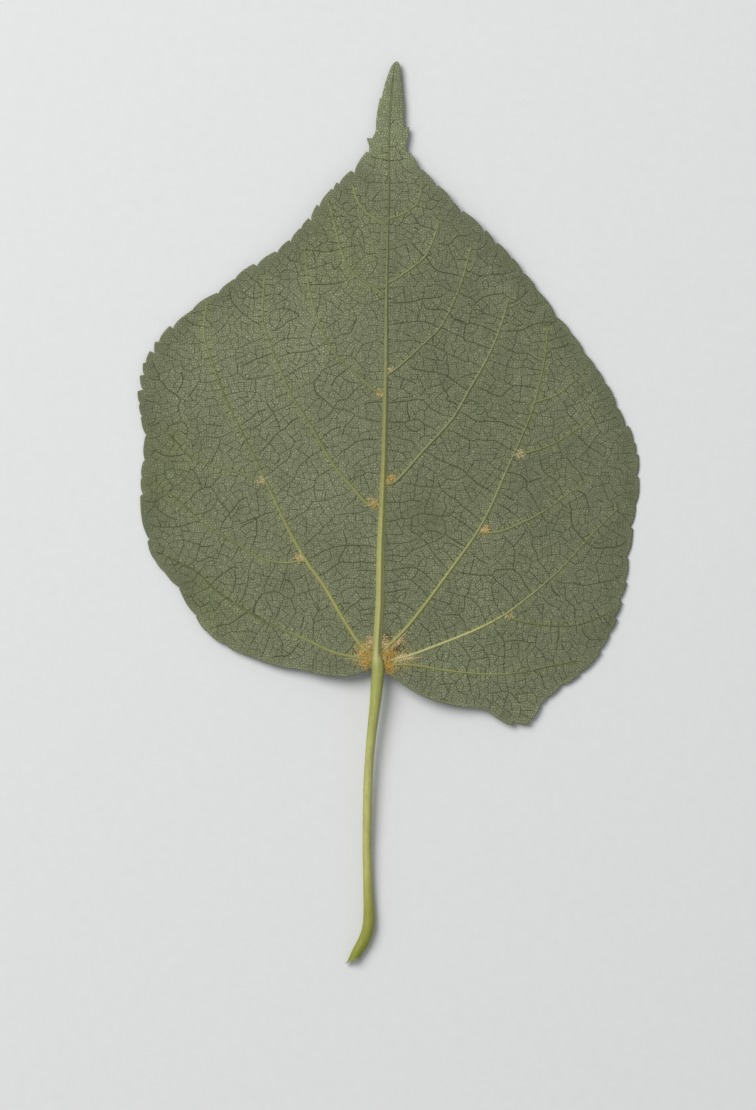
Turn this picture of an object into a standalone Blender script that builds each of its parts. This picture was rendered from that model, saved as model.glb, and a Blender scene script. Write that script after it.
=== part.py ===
"""A fallen linden leaf lying flat with its underside up, at its real size.

X runs across the blade, Y along it towards the tip, and Z up out of the underside. The blade is two thin
half plates, one on each side of the midrib. The stalk, the midrib and the side veins are tapering tubes.
The side veins lie in grooves in the plates, and small tufts of hair cover the angles where veins part.
"""

import random

import bmesh
import bpy
import numpy as np

MM = 0.001

# Driving dimensions
BLADE_THICKNESS = 0.7 * MM
END_GAP = 0.3 * MM
GROOVE_GAP = 0.13 * MM
ARCH_HEIGHT = 1.1 * MM
ARCH_WIDTH = 14.0 * MM
TIP_BEND = 50.0 * MM
TIP_BEND_LENGTH = 4.0 * MM
TIP_DROOP = 0.8
WAVE_HEIGHT = 0.14 * MM
WAVE_ACROSS = 24.0 * MM
WAVE_ALONG = 33.0 * MM
SHEET_CELL = 3.2 * MM
TOOTH_PITCH = 2.05 * MM
TOOTH_DEPTH = 0.42 * MM
SMALLEST_RADIUS = 0.15 * MM
BASE_VEIN_RADIUS = 0.5 * MM
SIDE_VEIN_RADIUS = 0.24 * MM
TUBE_STEP = 2.4 * MM
STALK_STEP = 1.3 * MM
TUFT_HEIGHT = 0.32 * MM
STALK_FOOT_HEIGHT = 0.335 * MM

# Each tooth's stations along its pitch, and how far each stands out of the margin in tooth depths
TOOTH_STATIONS = (0.0, 0.45, 0.86)
TOOTH_HEIGHTS = (-0.4, 0.25, 0.6)
MARGIN_STEP = 1.6 * MM
END_STEPS = 6

# Each outline and path below is in millimetres from the joint of stalk and blade.
LEFT_MARGIN = [
    (-0.95, -0.95), (-3.0, -1.55), (-6.0, -1.35), (-10.6, -0.5), (-14.3, 0.5), (-17.0, 2.4),
    (-19.5, 5.7), (-22.3, 9.3), (-24.0, 12.5), (-24.7, 16.7), (-24.6, 23.0), (-24.85, 28.0),
    (-24.0, 32.0), (-21.9, 34.8), (-16.9, 38.1), (-12.0, 41.7), (-8.5, 44.5), (-6.0, 47.7),
    (-3.5, 50.2), (-1.3, 52.5), (-0.3, 55.2), (0.0, 57.3), (0.95, 60.7),
]
RIGHT_MARGIN = [
    (0.95, -0.95), (2.5, -1.9), (5.3, -3.3), (8.0, -4.25), (11.2, -4.95), (14.1, -6.4), (15.9, -6.6),
    (17.0, -5.6), (18.9, -3.1), (22.6, 0.0), (24.6, 4.2), (25.8, 8.0), (26.5, 13.0), (27.05, 19.3),
    (26.2, 24.5), (23.9, 29.0), (20.2, 34.0), (16.5, 38.6), (13.3, 42.6), (10.0, 45.8), (7.4, 48.3),
    (4.6, 51.1), (3.2, 53.2), (2.75, 57.0), (2.5, 59.7), (2.3, 61.6),
]
TIP = [(1.9, 62.3), (1.5, 61.8), (1.2, 61.1)]
# How far along each margin its teeth start, and how far short of its end they stop
LEFT_TOOTHED = (14.0, 6.0)
RIGHT_TOOTHED = (18.5, 8.0)

# x, y and radius along the stalk from the joint to its foot, and along the midrib from the joint to the tip
STALK = [
    (0.0, -0.15, 0.62), (-0.26, -4.2, 0.57), (-0.83, -9.4, 0.47), (-1.1, -15.6, 0.47),
    (-1.14, -19.8, 0.46), (-1.04, -23.4, 0.49), (-0.94, -26.0, 0.57), (-1.05, -27.8, 0.62),
    (-1.6, -29.3, 0.6), (-2.65, -31.7, 0.48),
]
MIDRIB = [
    (0.0, 0.15, 0.5), (0.18, 6.2, 0.31), (0.49, 16.7, 0.24), (0.77, 27.1, 0.19), (0.89, 37.5, 0.17),
    (1.11, 47.9, 0.15), (1.15, 54.2, 0.15), (1.75, 60.6, 0.15),
]

# Each side vein: its radius where it starts, then its path from its parent vein to its end near the margin
LEFT_VEINS = {
    "basal_vein_left_inner": (0.2, [
        (-0.5, 0.5), (-3.6, 4.4), (-7.6, 10.6), (-12.0, 19.6), (-15.1, 25.5), (-17.2, 30.9), (-17.7, 36.3)]),
    "basal_vein_left_outer": (0.19, [
        (-1.1, 0.2), (-5.1, 1.1), (-10.0, 3.3), (-14.3, 5.6), (-17.8, 8.2), (-22.5, 11.1)]),
    "left_inner_branch_low": (0.17, [
        (-7.8, 10.4), (-11.0, 10.3), (-14.6, 12.8), (-19.5, 15.3), (-23.2, 18.6)]),
    "left_inner_branch_high": (0.16, [(-12.0, 18.6), (-15.3, 20.1), (-19.1, 21.0), (-21.9, 23.6)]),
    "side_vein_left_1": (0.18, [
        (-0.1, 16.4), (-1.8, 17.0), (-4.7, 20.5), (-8.0, 25.9), (-10.9, 32.2), (-11.9, 36.5), (-11.8, 39.9)]),
    "side_vein_left_2": (0.17, [
        (0.4, 27.8), (-1.0, 28.9), (-3.4, 30.7), (-6.1, 35.0), (-7.5, 40.0), (-7.6, 42.4)]),
    "side_vein_left_3": (0.16, [(0.7, 37.9), (-1.8, 39.6), (-3.8, 42.6), (-4.9, 46.9)]),
    "side_vein_left_4": (0.15, [(0.9, 45.3), (-1.6, 47.1), (-2.6, 49.2)]),
}
RIGHT_VEINS = {
    "basal_vein_right_inner": (0.2, [
        (0.5, 1.0), (2.6, 3.0), (5.7, 6.9), (9.2, 11.8), (12.5, 17.9), (14.7, 22.7), (16.7, 28.3),
        (17.7, 33.4)]),
    "basal_vein_right_outer": (0.19, [
        (0.9, 0.0), (4.6, 1.0), (9.9, 3.1), (14.9, 6.1), (18.2, 8.3), (20.2, 10.9), (24.6, 15.8)]),
    "basal_vein_right_lowest": (0.16, [(1.6, -0.3), (5.7, -0.7), (11.7, -1.4), (16.5, -0.9), (20.8, 0.0)]),
    "right_inner_branch_low": (0.17, [(11.3, 13.3), (14.7, 14.2), (18.0, 16.3), (21.7, 18.7)]),
    "right_inner_branch_middle": (0.16, [(14.6, 21.4), (18.9, 22.9), (22.6, 26.2)]),
    "right_inner_branch_high": (0.15, [(16.1, 26.8), (18.2, 27.5), (21.5, 30.0)]),
    "right_outer_branch": (0.16, [(13.6, 4.5), (17.3, 3.8), (21.0, 3.8), (23.9, 4.9)]),
    "side_vein_right_1": (0.18, [
        (1.1, 18.4), (3.1, 20.1), (6.4, 23.5), (9.7, 28.5), (12.3, 33.5), (13.6, 37.7)]),
    "side_vein_right_2": (0.17, [(0.8, 29.8), (3.2, 31.6), (6.5, 34.7), (8.4, 38.6), (9.7, 43.1)]),
    "side_vein_right_3": (0.16, [(1.0, 39.3), (3.2, 40.6), (5.5, 42.8), (6.4, 45.7)]),
    "side_vein_right_4": (0.15, [(1.1, 45.9), (3.3, 47.1), (4.6, 49.6)]),
}

# x, y, half width and half length of each tuft of hair, and its turn in degrees
TUFTS = {
    "hair_tuft_base_left": (-1.9, 1.3, 1.9, 1.2, -20),
    "hair_tuft_base_right": (2.0, 1.2, 2.2, 1.2, 25),
    "hair_tuft_left_1": (-0.6, 16.8, 1.0, 0.6, -15),
    "hair_tuft_left_2": (0.2, 28.3, 0.7, 0.5, -20),
    "hair_tuft_right_1": (1.4, 18.9, 1.0, 0.6, 35),
    "hair_tuft_right_2": (1.1, 30.2, 0.7, 0.5, 30),
    "hair_tuft_left_branch_low": (-8.2, 10.8, 0.9, 0.6, 0),
    "hair_tuft_left_branch_high": (-12.2, 18.9, 0.8, 0.6, 20),
    "hair_tuft_right_branch_low": (11.3, 13.7, 0.9, 0.7, 30),
    "hair_tuft_right_branch_middle": (14.8, 21.7, 0.8, 0.6, 40),
    "hair_tuft_right_outer": (13.7, 4.8, 0.7, 0.5, 10),
}


def smooth_path(points, step):
    """Points about a step apart on the Catmull-Rom curve through the given ones."""
    points = np.asarray(points, float)
    padded = np.vstack([2 * points[0] - points[1], points, 2 * points[-1] - points[-2]])
    t = np.linspace(0, 1, 12, endpoint=False)[:, None]
    pieces = []
    for a, b, c, d in zip(padded, padded[1:], padded[2:], padded[3:]):
        bend = (2 * a - 5 * b + 4 * c - d) * t**2 + (3 * b - a - 3 * c + d) * t**3
        pieces.append(0.5 * (2 * b + (c - a) * t + bend))
    dense = np.vstack(pieces + [points[-1:]])
    length = lengths_along(dense)
    stations = np.linspace(0, length[-1], max(3, round(length[-1] / step) + 1))
    return np.column_stack([np.interp(stations, length, column) for column in dense.T])


def lengths_along(path):
    """The length from the start of a path to each of its points."""
    return np.concatenate([[0], np.cumsum(np.linalg.norm(np.diff(path[:, :2], axis=0), axis=1))])


def midrib_x(y):
    """Where the midrib's line is across the leaf, at a height along it."""
    return np.interp(y, [p[1] * MM for p in MIDRIB], [p[0] * MM for p in MIDRIB])


def upper_face(x, y):
    """Height of the blade's upward face: an arch over the midrib's line, lower at the tip, and a slow wave."""
    droop = TIP_DROOP / (1 + np.exp((TIP_BEND - y) / TIP_BEND_LENGTH))
    arch = ARCH_HEIGHT * (1 - droop) * np.exp(-(((x - midrib_x(y)) / ARCH_WIDTH) ** 2))
    wave = WAVE_HEIGHT * np.sin(2 * np.pi * x / WAVE_ACROSS + 1) * np.cos(2 * np.pi * y / WAVE_ALONG)
    return BLADE_THICKNESS + arch + wave


def toothed(margin, toothed_part, outward, seed):
    """A margin's points with teeth that lean towards the tip: a notch, a shoulder and a point each."""
    rng = random.Random(seed)
    path = smooth_path(np.array(margin) * MM, 0.2 * MM)
    length = lengths_along(path)
    end = length[-1]
    first, last = toothed_part[0] * MM, end - toothed_part[1] * MM
    tangent = np.gradient(path, axis=0)
    tangent /= np.linalg.norm(tangent, axis=1)[:, None]
    normal = outward * np.column_stack([-tangent[:, 1], tangent[:, 0]])
    stations = list(np.arange(0, first, MARGIN_STEP))
    heights = [0.0] * len(stations)
    at = first
    while at < last:
        pitch = TOOTH_PITCH * rng.uniform(0.85, 1.15)
        depth = TOOTH_DEPTH * rng.uniform(0.75, 1.2)
        stations += [at + part * pitch for part in TOOTH_STATIONS]
        heights += [part * depth for part in TOOTH_HEIGHTS]
        at += pitch
    tail = list(np.linspace(at, end, END_STEPS))
    stations += tail
    heights += [0.0] * len(tail)
    pick = [np.interp(stations, length, column) for column in (*path.T, *normal.T)]
    return [(x + nx * h, y + ny * h) for x, y, nx, ny, h in zip(*pick, heights)]


def inner_edge(side, top):
    """A half blade's edge beside the stalk's end and the midrib, from the tip down. side is -1 or 1."""
    heights = np.array([p[1] for p in MIDRIB]) * MM
    radii = np.array([p[2] for p in MIDRIB]) * MM
    stations = np.concatenate([np.arange(top, 2.0, -4.0), [0.6, 0.1]]) * MM
    offset = np.interp(stations, heights, radii) + GROOVE_GAP
    offset[-1] = STALK[0][2] * MM + END_GAP
    return [(midrib_x(y) + side * d, y) for y, d in zip(stations, offset)]


def material(name, colour, roughness):
    made = bpy.data.materials.new(name)
    made.use_nodes = True
    shader = made.node_tree.nodes["Principled BSDF"]
    shader.inputs["Base Color"].default_value = (*colour, 1)
    shader.inputs["Roughness"].default_value = roughness
    shader.inputs["Metallic"].default_value = 0
    made.diffuse_color = (*colour, 1)
    return made


def tube(name, path, radii, collection, finish=None):
    """A tapering tube along a path, placed at the path's first point."""
    curve = bpy.data.curves.new(name, "CURVE")
    curve.dimensions = "3D"
    curve.bevel_depth = radii[0]
    curve.bevel_resolution = 1
    curve.use_fill_caps = True
    spline = curve.splines.new("POLY")
    spline.points.add(len(path) - 1)
    for point, place, radius in zip(spline.points, path - path[0], radii):
        point.co = (*place, 1)
        point.radius = radius / radii[0]
    spline.use_smooth = True
    made = bpy.data.objects.new(name, curve)
    made.location = path[0]
    if finish:
        curve.materials.append(finish)
    collection.objects.link(made)
    return made


def solid_from_curve(curve_object, collection):
    """A closed mesh object in place of a curve object, which no Boolean takes."""
    bpy.context.view_layer.update()
    graph = bpy.context.evaluated_depsgraph_get()
    mesh = bpy.data.meshes.new_from_object(curve_object.evaluated_get(graph))
    name, place = curve_object.name, curve_object.matrix_world.copy()
    bpy.data.objects.remove(curve_object)
    shape = bmesh.new()
    shape.from_mesh(mesh)
    bmesh.ops.remove_doubles(shape, verts=shape.verts, dist=0.001 * MM)
    bmesh.ops.recalc_face_normals(shape, faces=shape.faces)
    shape.to_mesh(mesh)
    shape.free()
    made = bpy.data.objects.new(name, mesh)
    made.matrix_world = place
    collection.objects.link(made)
    return made


def as_cutter(made):
    made.hide_render = True
    made.display_type = "WIRE"
    return made


def cut(target, cutter, operation):
    boolean = target.modifiers.new(cutter.name, "BOOLEAN")
    boolean.operation = operation
    boolean.solver = "EXACT"
    boolean.object = cutter


def on_blade(path, radii):
    """A flat path raised to lie along the blade's upward face, a third of its radius above it."""
    height = upper_face(path[:, 0], path[:, 1]) + radii / 3
    return np.column_stack([path[:, 0], path[:, 1], height])


def clear_start(path, radii, earlier):
    """The first place on a path from which it stays clear of every earlier tube."""
    start = 0
    for other_path, other_radii in earlier:
        apart = np.linalg.norm(path[:, None, :2] - other_path[None, :, :2], axis=2)
        room = (apart - radii[:, None] - other_radii[None, :]).min(axis=1)
        near = np.nonzero(room < END_GAP)[0]
        start = max(start, near[-1] + 1 if len(near) else 0)
    return start


def side_veins(veins, earlier, finish, parts, cutters):
    """The veins of one half of the leaf, and a cutter for each one's groove."""
    grooves = []
    for name, (start_radius, points) in veins.items():
        fine = smooth_path(np.array(points) * MM, 0.15 * MM)
        radii = np.linspace(start_radius * MM, SMALLEST_RADIUS, len(fine))
        start = clear_start(fine, radii, earlier)
        earlier.append((fine, radii))
        path = smooth_path(fine[start:], TUBE_STEP)
        radii = np.linspace(radii[start], SMALLEST_RADIUS, len(path))
        raised = on_blade(path, radii)
        tube(name, raised, radii, parts, finish)
        ends = np.array([raised[0] - raised[1], raised[-1] - raised[-2]])
        ends *= (2 * GROOVE_GAP / np.linalg.norm(ends, axis=1))[:, None]
        longer = np.vstack([raised[0] + ends[0], raised[1:-1], raised[-1] + ends[1]])
        grown = tube("groove_of_" + name, longer, radii + GROOVE_GAP, cutters)
        grooves.append(as_cutter(solid_from_curve(grown, cutters)))
    return grooves


def outline_block(name, points, cutters):
    """A tall block with a half blade's outline, which trims the sheet to shape."""
    curve = bpy.data.curves.new(name, "CURVE")
    curve.dimensions = "2D"
    curve.fill_mode = "BOTH"
    curve.extrude = 6 * MM
    spline = curve.splines.new("POLY")
    spline.points.add(len(points) - 1)
    for point, (x, y) in zip(spline.points, points):
        point.co = (x, y, 0, 1)
    spline.use_cyclic_u = True
    made = bpy.data.objects.new(name, curve)
    cutters.objects.link(made)
    return as_cutter(solid_from_curve(made, cutters))


def half_blade(name, points, grooves, finish, parts, cutters):
    """A thin arched plate trimmed to a half blade's outline, with a groove for each vein."""
    block = outline_block("outline_of_" + name, points, cutters)
    low = np.min(points, axis=0) - 2 * MM
    high = np.max(points, axis=0) + 2 * MM
    cells = np.ceil((high - low) / SHEET_CELL).astype(int)
    bpy.ops.mesh.primitive_grid_add(x_subdivisions=int(cells[0]), y_subdivisions=int(cells[1]), size=1)
    sheet = bpy.context.object
    sheet.name = sheet.data.name = name
    middle = (low + high) / 2
    sheet.location = (*middle, 0)
    for vertex in sheet.data.vertices:
        x, y = np.array(vertex.co.xy) * (high - low)
        vertex.co = (x, y, upper_face(x + middle[0], y + middle[1]))
    sheet.data.shade_smooth()
    sheet.data.materials.append(finish)
    for holder in list(sheet.users_collection):
        holder.objects.unlink(sheet)
    parts.objects.link(sheet)
    thickness = sheet.modifiers.new("thickness", "SOLIDIFY")
    thickness.thickness = BLADE_THICKNESS
    thickness.offset = -1
    cut(sheet, block, "INTERSECT")
    for groove in grooves:
        cut(sheet, groove, "DIFFERENCE")
    return sheet


def stalk(finish, parts):
    """The leaf's stalk: level with the midrib at the joint, and down on the ground at its foot."""
    path = smooth_path(np.array(STALK) * MM, STALK_STEP)
    fall = (lengths_along(path) / lengths_along(path)[-1]) ** 0.8
    joint_height = upper_face(0.0, 0.0) + 0.05 * MM
    height = joint_height + (STALK_FOOT_HEIGHT - joint_height) * fall
    return tube("petiole", np.column_stack([path[:, :2], height]), path[:, 2], parts, finish)


def midrib(finish, parts):
    """The leaf's main rib. It gives its path too, because the side veins start clear of it."""
    path = smooth_path(np.array(MIDRIB) * MM, TUBE_STEP)
    height = upper_face(path[:, 0], path[:, 1])
    tube("midrib", np.column_stack([path[:, :2], height]), path[:, 2], parts, finish)
    fine = smooth_path(np.array(MIDRIB) * MM, 0.15 * MM)
    return fine[:, :2], fine[:, 2]


def hair_tuft(name, size, finish, parts):
    """A low cushion that lies just over the veins at the angle between them."""
    x, y, half_width, half_length = (value * MM for value in size[:4])
    tallest_vein = 1.4 * (BASE_VEIN_RADIUS if "base" in name else SIDE_VEIN_RADIUS)
    bpy.ops.mesh.primitive_uv_sphere_add(segments=12, ring_count=6, radius=1)
    made = bpy.context.object
    made.name = made.data.name = name
    made.location = (x, y, upper_face(x, y) + tallest_vein + GROOVE_GAP + TUFT_HEIGHT)
    made.rotation_euler.z = np.radians(size[4])
    for vertex in made.data.vertices:
        vertex.co = (vertex.co.x * half_width, vertex.co.y * half_length, vertex.co.z * TUFT_HEIGHT)
    made.data.shade_smooth()
    made.data.materials.append(finish)
    for holder in list(made.users_collection):
        holder.objects.unlink(made)
    parts.objects.link(made)


def stand_at_origin(parts, cutters):
    """Puts the origin at the middle of the leaf's box, on the ground, by an empty that carries all of it."""
    bpy.context.view_layer.update()
    graph = bpy.context.evaluated_depsgraph_get()
    low, high = np.full(3, np.inf), np.full(3, -np.inf)
    for piece in parts.objects:
        evaluated = piece.evaluated_get(graph)
        mesh = evaluated.to_mesh()
        for vertex in mesh.vertices:
            place = np.array(evaluated.matrix_world @ vertex.co)
            low, high = np.minimum(low, place), np.maximum(high, place)
        evaluated.to_mesh_clear()
    carrier = bpy.data.objects.new("leaf_placement", None)
    for piece in [*parts.objects, *cutters.objects]:
        piece.parent = carrier
    carrier.location = (-(low[0] + high[0]) / 2, -(low[1] + high[1]) / 2, -low[2])
    parts.objects.link(carrier)


def main():
    for old in list(bpy.data.objects):
        bpy.data.objects.remove(old)
    parts = bpy.data.collections.new("linden_leaf")
    cutters = bpy.data.collections.new("cutters")
    bpy.context.scene.collection.children.link(parts)
    bpy.context.scene.collection.children.link(cutters)
    blade_green = material("blade_underside", (0.155, 0.172, 0.100), 0.7)
    vein_green = material("vein", (0.34, 0.35, 0.14), 0.55)
    stalk_green = material("stalk", (0.40, 0.41, 0.14), 0.5)
    hair_brown = material("hair", (0.36, 0.26, 0.08), 0.9)

    stalk(stalk_green, parts)
    rib = midrib(vein_green, parts)
    left_grooves = side_veins(LEFT_VEINS, [rib], vein_green, parts, cutters)
    right_grooves = side_veins(RIGHT_VEINS, [rib], vein_green, parts, cutters)
    left = toothed(LEFT_MARGIN, LEFT_TOOTHED, 1, 3) + inner_edge(-1, 60.2)
    tip = [(x * MM, y * MM) for x, y in TIP]
    right = toothed(RIGHT_MARGIN, RIGHT_TOOTHED, -1, 4) + tip + [(1.9 * MM, 61.0 * MM)] + inner_edge(1, 60.4)
    half_blade("blade_left", left, left_grooves, blade_green, parts, cutters)
    half_blade("blade_right", right, right_grooves, blade_green, parts, cutters)
    for name, size in TUFTS.items():
        hair_tuft(name, size, hair_brown, parts)
    stand_at_origin(parts, cutters)


main()
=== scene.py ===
"""A linden leaf lying underside up: a stalk, a midrib, side veins, two half blades and tufts of hair.

Shapes are worked out in millimetres from the joint of stalk and blade, then moved to where the solids are.
"""

import bpy
import numpy as np
from mathutils.geometry import delaunay_2d_cdt
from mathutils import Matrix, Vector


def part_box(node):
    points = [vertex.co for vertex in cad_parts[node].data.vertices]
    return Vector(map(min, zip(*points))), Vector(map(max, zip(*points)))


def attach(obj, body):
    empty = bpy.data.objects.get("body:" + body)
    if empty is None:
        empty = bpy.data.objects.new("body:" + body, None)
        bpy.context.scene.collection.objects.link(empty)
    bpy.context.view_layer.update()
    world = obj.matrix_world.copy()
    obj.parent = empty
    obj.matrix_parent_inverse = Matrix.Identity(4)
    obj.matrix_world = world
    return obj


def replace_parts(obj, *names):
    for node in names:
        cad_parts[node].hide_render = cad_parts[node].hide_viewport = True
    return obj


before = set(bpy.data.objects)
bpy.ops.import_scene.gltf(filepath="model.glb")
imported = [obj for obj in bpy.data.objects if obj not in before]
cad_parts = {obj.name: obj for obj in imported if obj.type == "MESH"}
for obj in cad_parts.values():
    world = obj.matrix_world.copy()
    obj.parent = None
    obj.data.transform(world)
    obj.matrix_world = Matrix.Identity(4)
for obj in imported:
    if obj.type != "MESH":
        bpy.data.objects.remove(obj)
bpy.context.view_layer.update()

# The lie of the leaf: an arch over the midrib that falls to the margins and the tip, with a slow wave. The
# real blade is thinner than the solids, so here the arch is higher by as much, and the midrib stays in place.
MM = 0.001
FACE_HEIGHT = 0.25
ARCH_HEIGHT = 1.55
ARCH_WIDTH = 14
TIP_BEND = 50
TIP_BEND_LENGTH = 4
TIP_DROOP = 0.8
WAVE_HEIGHT = 0.14
WAVE_ACROSS = 24
WAVE_ALONG = 33
MIDRIB_LINE = np.array([
    (0, -1.4), (0, 0.15), (0.18, 6.2), (0.49, 16.7), (0.77, 27.1), (0.89, 37.5), (1.11, 47.9), (1.15, 54.2),
    (1.6, 60.6), (1.88, 62.3),
])


def lie(x, y, base=FACE_HEIGHT, arch=ARCH_HEIGHT):
    """Height of the upward face: base + arch exp(-((x - midrib) / width)^2) + wave.

    Most of the arch is gone at the tip. The wave is a sine across the leaf times a cosine along it.
    """
    droop = TIP_DROOP / (1 + np.exp((TIP_BEND - y) / TIP_BEND_LENGTH))
    wave = WAVE_HEIGHT * np.sin(2 * np.pi * x / WAVE_ACROSS + 1) * np.cos(2 * np.pi * y / WAVE_ALONG)
    from_midrib = x - np.interp(y, MIDRIB_LINE[:, 1], MIDRIB_LINE[:, 0])
    return base + arch * (1 - droop) * np.exp(-(from_midrib / ARCH_WIDTH) ** 2) + wave


# One small tuft of the solids shows where the joint is and how high the leaf stands: it is over the solids'
# face by 1.4 of a side vein's radius and a gap.
TUFT_PLACE = np.array((13.7, 4.8))
TUFT_ABOVE_FACE = 1.4 * 0.24 + 0.13
SOLIDS_THICKNESS = 0.7
SOLIDS_ARCH = 1.1
tuft_low, tuft_high = (np.array(corner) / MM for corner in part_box("hair_tuft_right_outer"))
joint = (tuft_low[:2] + tuft_high[:2]) / 2 - TUFT_PLACE
lift = tuft_low[2] - lie(*TUFT_PLACE, SOLIDS_THICKNESS, SOLIDS_ARCH) - TUFT_ABOVE_FACE


def in_place(points):
    """World places in metres of points in millimetres from the joint."""
    return (np.asarray(points) + (*joint, lift)) * MM


# The stalk: a smooth round green stem that swells to an olive foot where it was torn off its twig. It grows
# out of the base of the midrib, and its foot lies on the ground. Each row is x, y and half width.
STALK = [
    (-0.1, 3.2, 0.08), (-0.11, 2.0, 0.19), (-0.12, 1.1, 0.3), (-0.1, 0.5, 0.43), (-0.06, 0.0, 0.57),
    (-0.02, -0.5, 0.66), (0.0, -1.2, 0.66), (-0.1, -2.4, 0.64), (-0.26, -4.2, 0.59),
    (-0.57, -6.8, 0.51), (-0.83, -9.4, 0.47), (-1.02, -12.5, 0.475), (-1.1, -15.6, 0.475),
    (-1.14, -19.8, 0.46), (-1.04, -23.4, 0.49), (-0.94, -26.0, 0.57), (-0.99, -27.6, 0.625),
    (-1.41, -29.0, 0.62), (-2.03, -30.1, 0.58), (-2.5, -31.05, 0.53),
]
STALK_STEP = 0.12
STALK_SIDES = 28
STALK_LIFT_OVER_FACE = 0.05
# Where along the stalk it starts to come down, over how much of its length, and the power of its curve
COMES_DOWN = (0.09, 0.845, 0.85)
TORN_SLANT = 0.5


def smooth_path(points, step):
    """Points a step apart on the Catmull-Rom curve through the given ones, with any further columns."""
    points = np.asarray(points, float)
    padded = np.vstack([2 * points[0] - points[1], points, 2 * points[-1] - points[-2]])
    t = np.linspace(0, 1, 12, endpoint=False)[:, None]
    pieces = []
    for a, b, c, d in zip(padded, padded[1:], padded[2:], padded[3:]):
        bend = (2 * a - 5 * b + 4 * c - d) * t**2 + (3 * b - a - 3 * c + d) * t**3
        pieces.append(0.5 * (2 * b + (c - a) * t + bend))
    dense = np.vstack(pieces + [points[-1:]])
    length = lengths_along(dense)
    stations = np.linspace(0, length[-1], max(3, round(length[-1] / step) + 1))
    return np.column_stack([np.interp(stations, length, column) for column in dense.T])


def lengths_along(path):
    """The length from the start of a path to each of its points."""
    return np.concatenate([[0], np.cumsum(np.linalg.norm(np.diff(path[:, :2], axis=0), axis=1))])


def directions_along(path):
    """The unit direction of a flat path at each of its points, and the unit direction to its left."""
    forward = np.gradient(path[:, :2], axis=0)
    forward /= np.linalg.norm(forward, axis=1)[:, None]
    return forward, np.column_stack([-forward[:, 1], forward[:, 0]])


def new_piece(name, points, faces, slot, materials, **attributes):
    """A piece from points in millimetres: its mesh, materials, smooth faces and point attributes."""
    mesh = bpy.data.meshes.new(name)
    mesh.from_pydata(in_place(points).tolist(), [], faces)
    mesh.validate()
    mesh.shade_smooth()
    for material in materials:
        mesh.materials.append(material)
    for attribute, values in attributes.items():
        data = mesh.attributes.new(attribute, "FLOAT", "POINT").data
        data.foreach_set("value", np.ravel(values).astype(np.float32))
    piece = bpy.data.objects.new(name, mesh)
    bpy.context.scene.collection.objects.link(piece)
    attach(piece, "root")
    return piece


def skin_faces(stations, around):
    """Faces of a closed skin over rings of points: quads from ring to ring, and one face over each end."""
    first = np.arange(stations * around).reshape(stations, around)
    second = np.roll(first, -1, axis=1)
    quads = np.stack([first[:-1], second[:-1], second[1:], first[1:]], axis=-1).reshape(-1, 4)
    return quads.tolist() + [first[0, ::-1].tolist(), first[-1].tolist()]


def many_skins(count, stations, around):
    """Faces of many like skins, one after another."""
    faces = skin_faces(stations, around)
    blocks = np.array(faces[:-2]), np.array(faces[-2:])
    starts = (np.arange(count) * stations * around)[:, None, None]
    return [face for block in blocks for face in (block + starts).reshape(-1, block.shape[1]).tolist()]


def add(tree, kind, values=None, **settings):
    """A new shader node. values holds its inputs by name or number: sockets are linked, the rest is set."""
    made = tree.nodes.new(kind)
    for name, value in settings.items():
        setattr(made, name, value)
    for name, value in (values or {}).items():
        if isinstance(value, bpy.types.NodeSocket):
            tree.links.new(value, made.inputs[name])
        else:
            made.inputs[name].default_value = value
    return made


def mixed(tree, factor, first, second, how="MIX"):
    """The colour of a Mix node between two colours or sockets."""
    colours = [value if isinstance(value, bpy.types.NodeSocket) else (*value, 1) for value in (first, second)]
    values = {0: factor, 6: colours[0], 7: colours[1]}
    return add(tree, "ShaderNodeMix", values, data_type="RGBA", blend_type=how).outputs[2]


def reckoned(tree, how, first, second=0.0):
    """The value of a Math node."""
    return add(tree, "ShaderNodeMath", {0: first, 1: second}, operation=how).outputs[0]


def ramp(tree, factor, stops):
    """The colour of a ramp through (place, linear colour) stops."""
    made = add(tree, "ShaderNodeValToRGB", {0: factor})
    for number, (place, colour) in enumerate(stops):
        stop = made.color_ramp.elements[number] if number < 2 else made.color_ramp.elements.new(place)
        stop.position = place
        stop.color = (*colour, 1)
    return made.outputs[0]


def bumped(tree, height, strength, distance):
    """The normal of a Bump node."""
    values = {"Height": height, "Strength": strength, "Distance": distance}
    return add(tree, "ShaderNodeBump", values).outputs[0]


def attribute(tree, name):
    """The value of one of the piece's own attributes."""
    return add(tree, "ShaderNodeAttribute", attribute_name=name).outputs["Fac"]


def finish(name, roughness, specular=0.3, sheen=0.0):
    """A material, its tree and its Principled shader, with the values that are the same all over."""
    made = bpy.data.materials.new(name)
    made.use_nodes = True
    shader = made.node_tree.nodes["Principled BSDF"]
    shader.inputs["Roughness"].default_value = roughness
    shader.inputs["Specular IOR Level"].default_value = specular
    shader.inputs["Sheen Weight"].default_value = sheen
    return made, made.node_tree, shader


def noise(tree, place, scale, detail):
    """The value of a Noise Texture."""
    values = {"Vector": place, "Scale": scale, "Detail": detail}
    return add(tree, "ShaderNodeTexNoise", values).outputs["Fac"]


# The green skin's streaks: how much they are drawn out, how fine they are, and their share of the mottle
STREAK_STRETCH = 0.22
STREAK_SCALE = 2600
STREAK_SHARE = 0.6
SKIN_RELIEF = 0.03 * MM


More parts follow.
